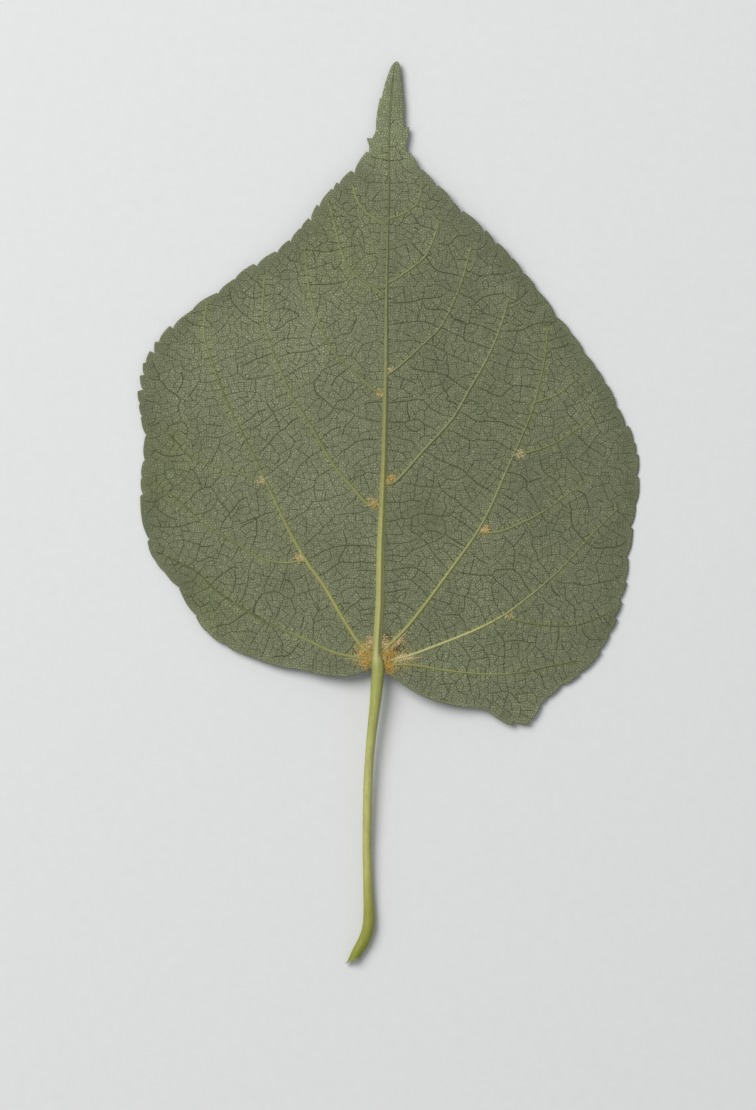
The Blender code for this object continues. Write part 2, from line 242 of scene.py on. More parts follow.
def mottle_group():
    """Fine pale mottles and streaks over a green skin. They multiply a colour, and give a height for bump."""
    group = bpy.data.node_groups.new("green_skin", "ShaderNodeTree")
    for name, kind, way in (
        ("Colour", "NodeSocketColor", "INPUT"), ("Mottle", "NodeSocketFloat", "INPUT"),
        ("Grain", "NodeSocketFloat", "INPUT"), ("Colour", "NodeSocketColor", "OUTPUT"),
        ("Height", "NodeSocketFloat", "OUTPUT"),
    ):
        group.interface.new_socket(name, in_out=way, socket_type=kind)
    given = group.nodes.new("NodeGroupInput").outputs
    place = add(group, "ShaderNodeTexCoord").outputs["Object"]
    drawn_out = add(group, "ShaderNodeMapping", {"Vector": place, "Scale": (1, STREAK_STRETCH, 1)}).outputs[0]
    streaks = noise(group, drawn_out, STREAK_SCALE, 3)
    specks = noise(group, place, given["Grain"], 2)
    both = reckoned(group, "MULTIPLY", streaks, STREAK_SHARE)
    both = reckoned(group, "ADD", both, reckoned(group, "MULTIPLY", specks, 1 - STREAK_SHARE))
    centred = reckoned(group, "SUBTRACT", both, 0.5)
    factor = reckoned(group, "ADD", reckoned(group, "MULTIPLY", centred, given["Mottle"]), 1.0)
    grey = add(group, "ShaderNodeCombineColor", {0: factor, 1: factor, 2: factor}).outputs[0]
    out = group.nodes.new("NodeGroupOutput")
    group.links.new(mixed(group, 1.0, given["Colour"], grey, "MULTIPLY"), out.inputs["Colour"])
    group.links.new(both, out.inputs["Height"])
    return group


def green_skin(tree, shader, colour, mottle, grain, bump):
    """Puts the mottled green skin between a colour and the shader."""
    skin = add(tree, "ShaderNodeGroup", node_tree=GREEN_SKIN)
    tree.links.new(colour, skin.inputs["Colour"])
    skin.inputs["Mottle"].default_value = mottle
    skin.inputs["Grain"].default_value = grain
    tree.links.new(skin.outputs["Colour"], shader.inputs["Base Color"])
    tree.links.new(bumped(tree, skin.outputs["Height"], bump, SKIN_RELIEF), shader.inputs["Normal"])


GREEN_SKIN = mottle_group()

stalk_finish, tree, shader = finish("stalk_skin", 0.42, specular=0.35)
stalk_green = ramp(tree, attribute(tree, "along"), [
    (0.0, (0.42, 0.41, 0.18)), (0.07, (0.41, 0.41, 0.16)), (0.11, (0.34, 0.355, 0.105)),
    (0.2, (0.37, 0.38, 0.10)), (0.44, (0.45, 0.445, 0.152)), (0.72, (0.43, 0.43, 0.125)),
    (0.85, (0.29, 0.30, 0.05)), (1.0, (0.23, 0.25, 0.03)),
])
# Darker olive on the flanks: painted shade on the sides of the stalk that turn away from the light.
flank_shade_share = reckoned(tree, "MULTIPLY", attribute(tree, "flank"), 0.5)
flank_shaded_green = mixed(tree, flank_shade_share, stalk_green, (0.20, 0.24, 0.03))
torn_white = mixed(tree, attribute(tree, "torn"), flank_shaded_green, (0.50, 0.52, 0.36))
green_skin(tree, shader, torn_white, 0.85, 5200, 0.4)

path = smooth_path(STALK, STALK_STEP)
forward, left = directions_along(path)
fraction = lengths_along(path) / lengths_along(path)[-1]
joint_height = lie(0.0, 0.0) + STALK_LIFT_OVER_FACE
resting = path[:, 2] - lift
down = np.clip((fraction - COMES_DOWN[0]) / COMES_DOWN[1], 0, 1) ** COMES_DOWN[2]
height = joint_height + (resting - joint_height) * down
angle = np.linspace(0, 2 * np.pi, STALK_SIDES, endpoint=False)
ridges = 1 + 0.012 * np.sin(5 * angle + 1) + 0.008 * np.sin(9 * angle)
rng = np.random.default_rng(11)
ragged = 0.09 * np.sin(4 * angle + 2) + rng.uniform(-0.14, 0.14, len(angle)) - TORN_SLANT * np.cos(angle)
# The last rings turn in over the torn end: how far along, how wide and how torn each one is
torn_rings = np.array([
    (0.0, 1.0, 0.0), (0.12, 0.97, 0.5), (0.16, 0.86, 1.0), (-0.1, 0.6, 1.0), (-0.2, 0.2, 1.0)])
near_end = np.clip((fraction - 0.975) / 0.025, 0, 1)
centre = np.column_stack([path[:, :2], height])
centre = np.vstack([centre, np.repeat(centre[-1:], len(torn_rings), axis=0)])
radius = np.concatenate([path[:, 2], path[-1, 2] * torn_rings[:, 1]])
pull = np.concatenate([near_end**2, 0.7 + 0.3 * torn_rings[:, 1]])
push = np.concatenate([np.zeros(len(path)), torn_rings[:, 0]])
forward = np.vstack([forward, np.repeat(forward[-1:], len(torn_rings), axis=0)])
left = np.vstack([left, np.repeat(left[-1:], len(torn_rings), axis=0)])
shift = pull[:, None] * ragged + push[:, None]
rings = np.zeros((len(centre), len(angle), 3))
rings += centre[:, None, :]
rings[..., :2] += radius[:, None, None] * (np.cos(angle) * ridges)[None, :, None] * left[:, None, :]
rings[..., :2] += shift[..., None] * forward[:, None, :]
rings[..., 2] += radius[:, None] * (np.sin(angle) * ridges)[None, :] * 0.96
along = np.repeat(np.concatenate([fraction, np.ones(len(torn_rings))]), len(angle))
torn = np.repeat(np.concatenate([np.zeros(len(path)), torn_rings[:, 2]]), len(angle))
# The flank attribute is painted shade on the stalk's sides, which turn away from the light.
flank = np.abs(np.cos(np.tile(angle, len(centre)))) ** 4 * np.clip((along - 0.08) / 0.03, 0, 1)
stalk = new_piece("stalk", rings.reshape(-1, 3), skin_faces(*rings.shape[:2]), "stalk", [stalk_finish],
                  along=along, torn=torn, flank=flank)
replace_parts(stalk, "petiole")


# Torn fibres: short whitish threads that stand out of the torn end of the stalk, where it left the twig.
FIBRES = 26


def threads(roots, directions, lengths, radii, bends):
    """Points and faces of tapering three-sided threads, and the number of points of one.

    A thread runs along root + length (direction t + bend t^2), with t from 0 to 1.
    """
    t = np.linspace(0, 1, 6)
    directions = directions / np.linalg.norm(directions, axis=1)[:, None]
    side = np.cross(directions, (0.12, 0.25, 0.96))
    side /= np.linalg.norm(side, axis=1)[:, None] + 1e-9
    up = np.cross(side, directions)
    line = directions[:, None, :] * t[None, :, None] + bends[:, None, :] * t[None, :, None] ** 2
    line = roots[:, None, :] + lengths[:, None, None] * line
    turn = np.array([0, 2 * np.pi / 3, 4 * np.pi / 3])
    ring = np.cos(turn)[None, :, None] * -side[:, None, :] + np.sin(turn)[None, :, None] * up[:, None, :]
    taper = (1 - 0.85 * t**1.5)[None, :, None, None] * radii[:, None, None, None]
    points = line[:, :, None, :] + taper * ring[:, None, :, :]
    return points.reshape(-1, 3), many_skins(len(roots), len(t), 3), len(t) * 3


fibre_finish, tree, shader = finish("torn_fibre", 0.6)
fibre_pale = mixed(tree, attribute(tree, "tone"), (0.30, 0.33, 0.16), (0.62, 0.62, 0.52))
green_skin(tree, shader, fibre_pale, 0.4, 9000, 0.2)

rng = np.random.default_rng(12)
turn = rng.uniform(0, 2 * np.pi, FIBRES)
turn[:9] = rng.normal(np.pi, 0.45, 9)
turn[9:13] = rng.normal(0.1, 0.25, 4)
end, ahead, aside = centre[-1], np.append(forward[-1], -0.1), np.append(left[-1], 0)
out = np.cos(turn)[:, None] * aside + np.sin(turn)[:, None] * np.array((0, 0, 1))
back = -0.55 * np.cos(turn) + rng.uniform(-0.25, 0.05, FIBRES)
roots = end + path[-1, 2] * 0.9 * out + back[:, None] * ahead
aim = ahead + 0.35 * out + rng.normal(0, 0.25, (FIBRES, 3))
size = rng.uniform(0.2, 0.42, FIBRES)
roots[:, 2] = np.maximum(roots[:, 2], 0.08 - lift)
aim[:, 2] = np.maximum(aim[:, 2], -0.02)
radii = rng.uniform(0.03, 0.06, FIBRES)
points, faces, each = threads(roots, aim, size, radii, rng.normal(0, 0.15, (FIBRES, 3)))
tone = np.repeat(rng.uniform(0.3, 1.0, FIBRES), each)
new_piece("stalk_fibres", points, faces, "stalk", [fibre_finish], tone=tone)


# The midrib and the side veins: solid ridges of yellow-green to olive tissue that stand out of the underside,
# grown in one piece with the blade. Each tapers from its parent vein to a thread near the margin.
# The midrib: x, y, half width and height
MIDRIB = [
    (0.03, -1.3, 0.48, 0.46), (-0.03, -0.3, 0.50, 0.56), (-0.06, 0.25, 0.46, 0.54), (-0.06, 0.9, 0.38, 0.48),
    (-0.04, 2.1, 0.355, 0.42), (0.09, 4.2, 0.35, 0.38), (0.19, 6.2, 0.34, 0.35), (0.28, 11.5, 0.32, 0.31),
    (0.5, 16.7, 0.285, 0.27), (0.68, 21.9, 0.25, 0.23), (0.79, 27.1, 0.22, 0.20), (0.87, 31.2, 0.19, 0.17),
    (0.9, 37.5, 0.155, 0.13), (1.0, 42.7, 0.12, 0.10), (1.11, 47.9, 0.09, 0.07), (1.15, 54.2, 0.05, 0.035),
    (1.6, 60.6, 0.03, 0.012),
]
# How far along, and the tone there from 0, whitish, to 1, dark olive
MIDRIB_TONES = [
    (0, 0.27), (0.2, 0.32), (0.3, 0.45), (0.42, 0.56), (0.58, 0.68), (0.78, 0.8), (0.9, 0.74), (1, 0.68)]

# Each side vein: half widths at its start and end, tones along it, and its path
SIDE_VEINS = {
    "basal_vein_left_inner": (0.18, 0.08, [
        (0, 0.37), (0.3, 0.41), (0.45, 0.58), (0.55, 0.7), (0.62, 0.74), (0.82, 0.76), (0.88, 0.68),
        (1, 0.68)], [
        (-0.5, 0.5), (-1.9, 1.8), (-3.6, 4.4), (-5.6, 7.8), (-7.6, 10.6), (-9.6, 14.3), (-12.0, 19.4),
        (-14.3, 24.0), (-15.9, 27.3), (-17.2, 30.9), (-18.1, 34.0), (-17.8, 37.3)]),
    "basal_vein_left_outer": (0.15, 0.07, [(0, 0.43), (0.3, 0.55), (0.42, 0.74), (0.6, 0.82), (1, 0.9)], [
        (-1.1, 0.2), (-3.5, 0.6), (-5.1, 1.1), (-8.3, 2.6), (-11.4, 3.9), (-14.3, 5.6), (-16.8, 7.3),
        (-19.0, 9.3), (-22.5, 11.1)]),
    "left_inner_branch_low": (0.13, 0.06, [(0, 0.54), (0.25, 0.64), (0.5, 0.73), (0.75, 0.8), (1, 0.84)], [
        (-7.8, 10.4), (-10.0, 10.2), (-12.5, 10.8), (-14.6, 12.2), (-17.7, 13.9), (-20.3, 16.3),
        (-23.5, 18.8)]),
    "left_inner_branch_high": (0.11, 0.06, [(0, 0.62), (0.3, 0.69), (0.6, 0.72), (0.8, 0.8), (1, 0.84)], [
        (-12.0, 18.7), (-15.3, 19.8), (-17.7, 20.4), (-20.1, 21.7), (-21.9, 23.6)]),
    "side_vein_left_1": (0.16, 0.09, [(0, 0.5), (0.2, 0.6), (0.45, 0.7), (0.7, 0.71), (1, 0.7)], [
        (-0.1, 16.4), (-1.0, 16.25), (-2.8, 18.2), (-4.7, 20.5), (-7.1, 24.6), (-8.9, 27.4), (-10.3, 30.5),
        (-11.5, 33.8), (-12.0, 35.8), (-11.8, 40.0)]),
    "side_vein_left_2": (0.13, 0.08, [(0, 0.56), (0.2, 0.69), (0.5, 0.69), (1, 0.71)], [
        (0.4, 27.8), (-0.6, 28.3), (-2.1, 29.7), (-4.4, 31.8), (-6.1, 35.0), (-7.2, 39.0), (-7.6, 42.6)]),
    "side_vein_left_3": (0.13, 0.08, [(0, 0.6), (0.25, 0.68), (0.5, 0.66), (1, 0.7)], [
        (0.7, 37.9), (-0.6, 38.9), (-2.7, 40.4), (-3.8, 42.6), (-4.5, 45.3), (-5.0, 47.4)]),
    "side_vein_left_4": (0.11, 0.07, [(0, 0.6), (0.3, 0.57), (1, 0.58)], [
        (0.9, 45.3), (-0.9, 46.35), (-2.1, 47.8), (-2.6, 49.3)]),
    "basal_vein_right_inner": (0.185, 0.07, [(0, 0.42), (0.3, 0.48), (0.46, 0.63), (0.65, 0.74), (1, 0.79)], [
        (0.5, 1.0), (2.6, 3.0), (4.2, 4.9), (5.7, 6.9), (8.1, 10.2), (10.1, 13.0), (11.8, 16.1), (13.3, 19.6),
        (14.7, 22.7), (16.1, 26.2), (17.3, 31.0), (17.7, 34.8)]),
    "basal_vein_right_outer": (0.14, 0.06, [
        (0, 0.12), (0.32, 0.2), (0.45, 0.48), (0.6, 0.67), (0.7, 0.75), (1, 0.79)], [
        (0.9, 0.0), (3.1, 0.5), (6.4, 1.7), (9.9, 3.1), (12.9, 4.6), (15.0, 6.1), (17.1, 7.8), (19.1, 9.6),
        (20.8, 11.5), (22.6, 13.5), (25.2, 16.1)]),
    "basal_vein_right_lowest": (0.1, 0.06, [(0, 0.42), (0.35, 0.5), (0.6, 0.6), (0.72, 0.86), (1, 0.92)], [
        (1.6, -0.35), (4.2, -0.5), (7.5, -1.05), (11.7, -1.4), (14.9, -1.2), (18.6, -0.45), (20.8, 0.0)]),
    "right_inner_branch_low": (0.11, 0.055, [(0, 0.54), (0.35, 0.62), (0.55, 0.72), (1, 0.78)], [
        (10.9, 13.3), (12.9, 13.5), (16.5, 15.1), (19.3, 17.0), (21.7, 18.75)]),
    "right_inner_branch_middle": (0.11, 0.055, [(0, 0.66), (0.35, 0.73), (0.7, 0.77), (1, 0.74)], [
        (14.6, 21.4), (16.5, 21.9), (18.9, 22.9), (21.7, 24.9), (22.6, 26.2)]),
    "right_inner_branch_high": (0.1, 0.055, [(0, 0.66), (0.5, 0.65), (0.65, 0.84), (1, 0.88)], [
        (16.1, 26.8), (18.2, 27.5), (19.5, 28.3), (20.6, 29.2), (21.5, 30.0)]),
    "right_outer_branch": (0.1, 0.06, [(0, 0.62), (0.3, 0.79), (0.7, 0.86), (1, 0.94)], [
        (13.6, 4.5), (15.5, 3.95), (18.2, 3.65), (20.8, 3.75), (23.9, 4.9)]),
    "side_vein_right_1": (0.15, 0.09, [(0, 0.6), (0.3, 0.67), (0.6, 0.71), (1, 0.74)], [
        (0.6, 18.4), (1.9, 18.7), (4.8, 21.9), (7.7, 25.1), (9.7, 28.5), (11.3, 31.3), (12.3, 33.5),
        (13.0, 35.5), (13.7, 37.8)]),
    "side_vein_right_2": (0.13, 0.07, [(0, 0.65), (0.3, 0.71), (0.7, 0.74), (1, 0.76)], [
        (0.8, 29.6), (2.1, 30.5), (4.3, 32.5), (6.5, 34.7), (7.9, 37.4), (8.9, 40.0), (9.7, 43.1)]),
    "side_vein_right_3": (0.11, 0.07, [(0, 0.64), (0.5, 0.68), (1, 0.74)], [
        (0.9, 39.2), (2.1, 39.8), (4.8, 41.9), (5.8, 43.9), (6.4, 45.7)]),
    "side_vein_right_4": (0.1, 0.06, [(0, 0.62), (0.5, 0.69), (1, 0.75)], [
        (1.0, 45.9), (2.5, 46.4), (4.1, 47.6), (4.6, 49.6)]),
}
# A side vein's height in half widths, at its start and its end
VEIN_HEIGHTS = (0.9, 0.4)
VEIN_STEP = 0.16
VEIN_ROOT_DEPTH = 0.12
MIDRIB_BLOTCHES = 0.03
VEIN_BLOTCHES = 0.05

# The ridge's profile, once round: how far out in half widths, and how high in heights, with a flat foot
RIDGE_REACH = 1.35
out = np.linspace(RIDGE_REACH, -RIDGE_REACH, 15)
crest = np.exp(-np.abs(out / 0.72) ** 2.4)

vein_finish, tree, shader = finish("vein_skin", 0.5, specular=0.35)
vein_tone = ramp(tree, attribute(tree, "tone"), [
    (0.0, (0.48, 0.49, 0.32)), (0.27, (0.43, 0.42, 0.16)), (0.5, (0.283, 0.285, 0.092)),
    (0.7, (0.20, 0.22, 0.10)), (0.85, (0.13, 0.145, 0.06)), (1.0, (0.06, 0.07, 0.03)),
])
green_skin(tree, shader, vein_tone, 0.45, 4200, 0.3)


def ridge(name, path, tones, grain):
    """A vein: z = lie + height exp(-|out / 0.72|^2.4) across it, closed by a flat foot inside the blade.

    Its tone is that given along it, darker on its flanks, and more so on the right flank, which is painted
    shade on the side away from the light. It has random blotches of the size of grain.
    """
    path = smooth_path(path, VEIN_STEP)
    _, left = directions_along(path)
    stations, around = len(path), len(out) + 2
    across = np.concatenate([out, [out[-1], out[0]]])
    high = np.concatenate([crest, [0, 0]])
    foot = np.concatenate([np.where(np.abs(out) > 1.3, 0.04, 0.0), [VEIN_ROOT_DEPTH] * 2])
    fraction = lengths_along(path) / lengths_along(path)[-1]
    ends = np.clip(np.minimum(fraction, 1 - fraction) * 40 + 0.25, 0, 1)
    flat = path[:, None, :2] + (path[:, 2] * ends)[:, None, None] * across[None, :, None] * left[:, None, :]
    z = lie(flat[..., 0], flat[..., 1]) + (path[:, 3] * ends)[:, None] * high - foot
    # Both flanks are darker, and the right flank more so: painted shade on the side away from the light.
    flanks = 0.2 * (across / RIDGE_REACH) ** 2 + 0.15 * np.clip(-across / RIDGE_REACH, 0, 1)
    blotches = grain * np.clip(2 * fraction, 0, 1) * rng.normal(0, 1, stations)
    tone = (np.interp(fraction, *zip(*tones)) + blotches)[:, None] + (1 - 0.7 * fraction)[:, None] * flanks
    rings = np.concatenate([flat, z[..., None]], axis=2)
    return new_piece(name, rings.reshape(-1, 3), skin_faces(stations, around), "vein", [vein_finish],
                     tone=np.clip(tone, 0, 1).ravel())


rng = np.random.default_rng(21)
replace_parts(ridge("main_rib", MIDRIB, MIDRIB_TONES, MIDRIB_BLOTCHES), "midrib")
for name, (start_width, end_width, tones, points) in SIDE_VEINS.items():
    widths = np.linspace(start_width, end_width, len(points))
    heights = widths * np.linspace(*VEIN_HEIGHTS, len(points))
    vein = ridge(name + "_ridge", np.column_stack([points, widths, heights]), tones, VEIN_BLOTCHES)
    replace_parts(vein, name)


# The net of fine veins: thin dark threads that stand a little out of the underside. The large meshes lie
# between the side veins like rungs of a ladder, and each is divided into small ones that share its borders.
# The places of the margin and the cross veins are read on the photograph, in its pixels
JOINT_PIXEL = (377, 660)
PIXELS_PER_MM = 9.6


def from_photo(places, digits=2):
    """Millimetres from the joint, rounded, of places in the photograph, where y runs down."""
    places = np.array(places, float)
    across = (places[..., 0::2] - JOINT_PIXEL[0]) / PIXELS_PER_MM
    up = (JOINT_PIXEL[1] - places[..., 1::2]) / PIXELS_PER_MM
    return np.round(np.stack([across, up], axis=-1), digits).reshape(places.shape)


# The margin: smooth from the stalk, each tooth's tip and the notch past it, a spur, and smooth to the tip
LEFT_BASE = from_photo([
    (374, 667.9), (369.8, 667.8), (361.6, 671.2), (351.4, 674.7), (339.2, 675.9), (318.8, 673.3),
    (298.4, 668.6), (280, 666.1), (265, 661.8), (250, 656.3), (240, 652.5), (231, 648.5), (226.8, 645.2),
    (225.8, 643.8),
])
LEFT_TEETH = from_photo([
    (209, 634, 207.8, 632), (195.5, 616.2, 196.8, 614.8), (178.6, 587.8, 179.3, 586.2),
    (163.8, 571.2, 163.2, 570.2), (154.6, 559.8, 153.8, 558.5), (147, 540.8, 149, 539),
    (139.6, 495.6, 142.4, 493.2), (140.2, 479, 141.2, 477), (142.4, 461.9, 144.4, 459.4),
    (144.5, 436.8, 145.9, 434.5), (140.4, 417.2, 141.4, 415.6), (138.4, 404.8, 139.4, 402.6),
    (137, 390.9, 142.7, 389.3), (139.2, 375.4, 143.8, 374.3), (142.4, 362.9, 145.4, 362.1),
    (149.2, 350.9, 154.6, 353.4), (154.4, 341.6, 158.4, 341.6), (168.8, 325.8, 172.2, 328),
    (189.8, 311, 192, 309.6), (215.6, 292.9, 217.6, 293.4), (232.6, 279.4, 234.6, 278.9),
    (252.6, 264, 256.2, 266), (273.6, 251.8, 277, 252.6), (288, 240.4, 290.2, 241.6),
    (298.8, 228.8, 300.6, 229), (307.6, 218.4, 310.6, 221), (316, 204.9, 318.6, 207.2),
    (330.6, 189, 332.8, 190.2), (335.9, 182.8, 338.6, 184.4), (350, 170.9, 354, 173.5),
    (365.4, 152, 367.6, 152.8),
])
LEFT_SPUR = from_photo([
    (368.4, 150.5), (368.5, 146), (367.1, 142), (366.3, 139), (366.1, 138.2), (367, 138.1), (371, 138.4),
])
LEFT_POINT = from_photo([
    (373.2, 135.5), (375, 131), (375.4, 127), (375.5, 120), (376.2, 114), (377.2, 108), (378.9, 99.5),
    (380.7, 97.3), (382.5, 91), (384.5, 83), (386.5, 77), (388.5, 71.5), (390.2, 67.3), (392.2, 64.3),
    (394.6, 62), (396, 61.6),
])
RIGHT_BASE = from_photo([
    (380, 668.3), (383.7, 670.7), (386, 671.8), (390, 674.7), (400.4, 682.4), (414.7, 691.6),
    (425, 696.5), (435, 700.4), (445, 703), (455.5, 704.9), (468, 706.3), (480, 708), (487, 711),
    (492, 714.5), (497, 718), (503, 721.5), (508, 723.6), (512.4, 724.5), (512.2, 722.2), (511.3, 719.9),
])
RIGHT_TEETH = from_photo([
    (527.6, 724, 529, 720.2), (539.5, 705, 538.6, 703.5), (544.8, 698.6, 545.3, 696.9),
    (559.3, 685.8, 560, 684.3), (578.8, 674.2, 577.2, 672.6), (599.7, 651.6, 597.4, 649.4),
    (608, 634.4, 607, 632.4), (616, 618.6, 613, 616.7), (620.6, 601.4, 617.8, 598.7),
    (625.4, 582.4, 623.2, 580), (627, 558, 625, 556.4), (631.8, 528.2, 628.8, 526.5),
    (634.8, 505.6, 634.1, 504.2), (637.7, 477, 635.3, 475.3), (637, 453.8, 634.2, 453.9),
    (633.7, 441.9, 631.8, 441.4), (627.4, 425.6, 623.6, 425.7), (616.8, 407.5, 614, 406.8),
    (612.7, 396, 611.1, 395.2), (605, 383.6, 602.8, 382.8), (596.6, 369.5, 594.2, 368.3),
    (583.2, 353.2, 582.2, 352.1), (569.6, 332.6, 568.7, 331.5), (555.2, 316.4, 553.4, 315.4),
    (534.6, 288.8, 534.3, 288.4), (524, 273.9, 521, 273.4), (512.2, 258.4, 509.6, 259),
    (496.8, 243, 493.5, 244.6), (485.4, 230.6, 482.6, 231.6), (462.2, 211.3, 460, 214),
    (450.4, 200.4, 449.4, 199), (437.2, 186, 435.2, 187.6), (420.2, 168.9, 417.6, 170.2),
    (409.6, 153.2, 406.8, 153),
])
RIGHT_SPUR = from_photo([
    (405.2, 150.5), (404.8, 147), (406, 142), (407.4, 135), (407.9, 128.4), (408, 127.2), (407, 127.3),
    (403.9, 128.1),
])
RIGHT_POINT = from_photo([
    (403.4, 127.4), (402.8, 120), (402.7, 112), (402.7, 104), (402.2, 98), (401.5, 91), (401, 84),
    (400.3, 77), (399.8, 71), (399, 66.5), (397.6, 63), (396, 61.6),
])
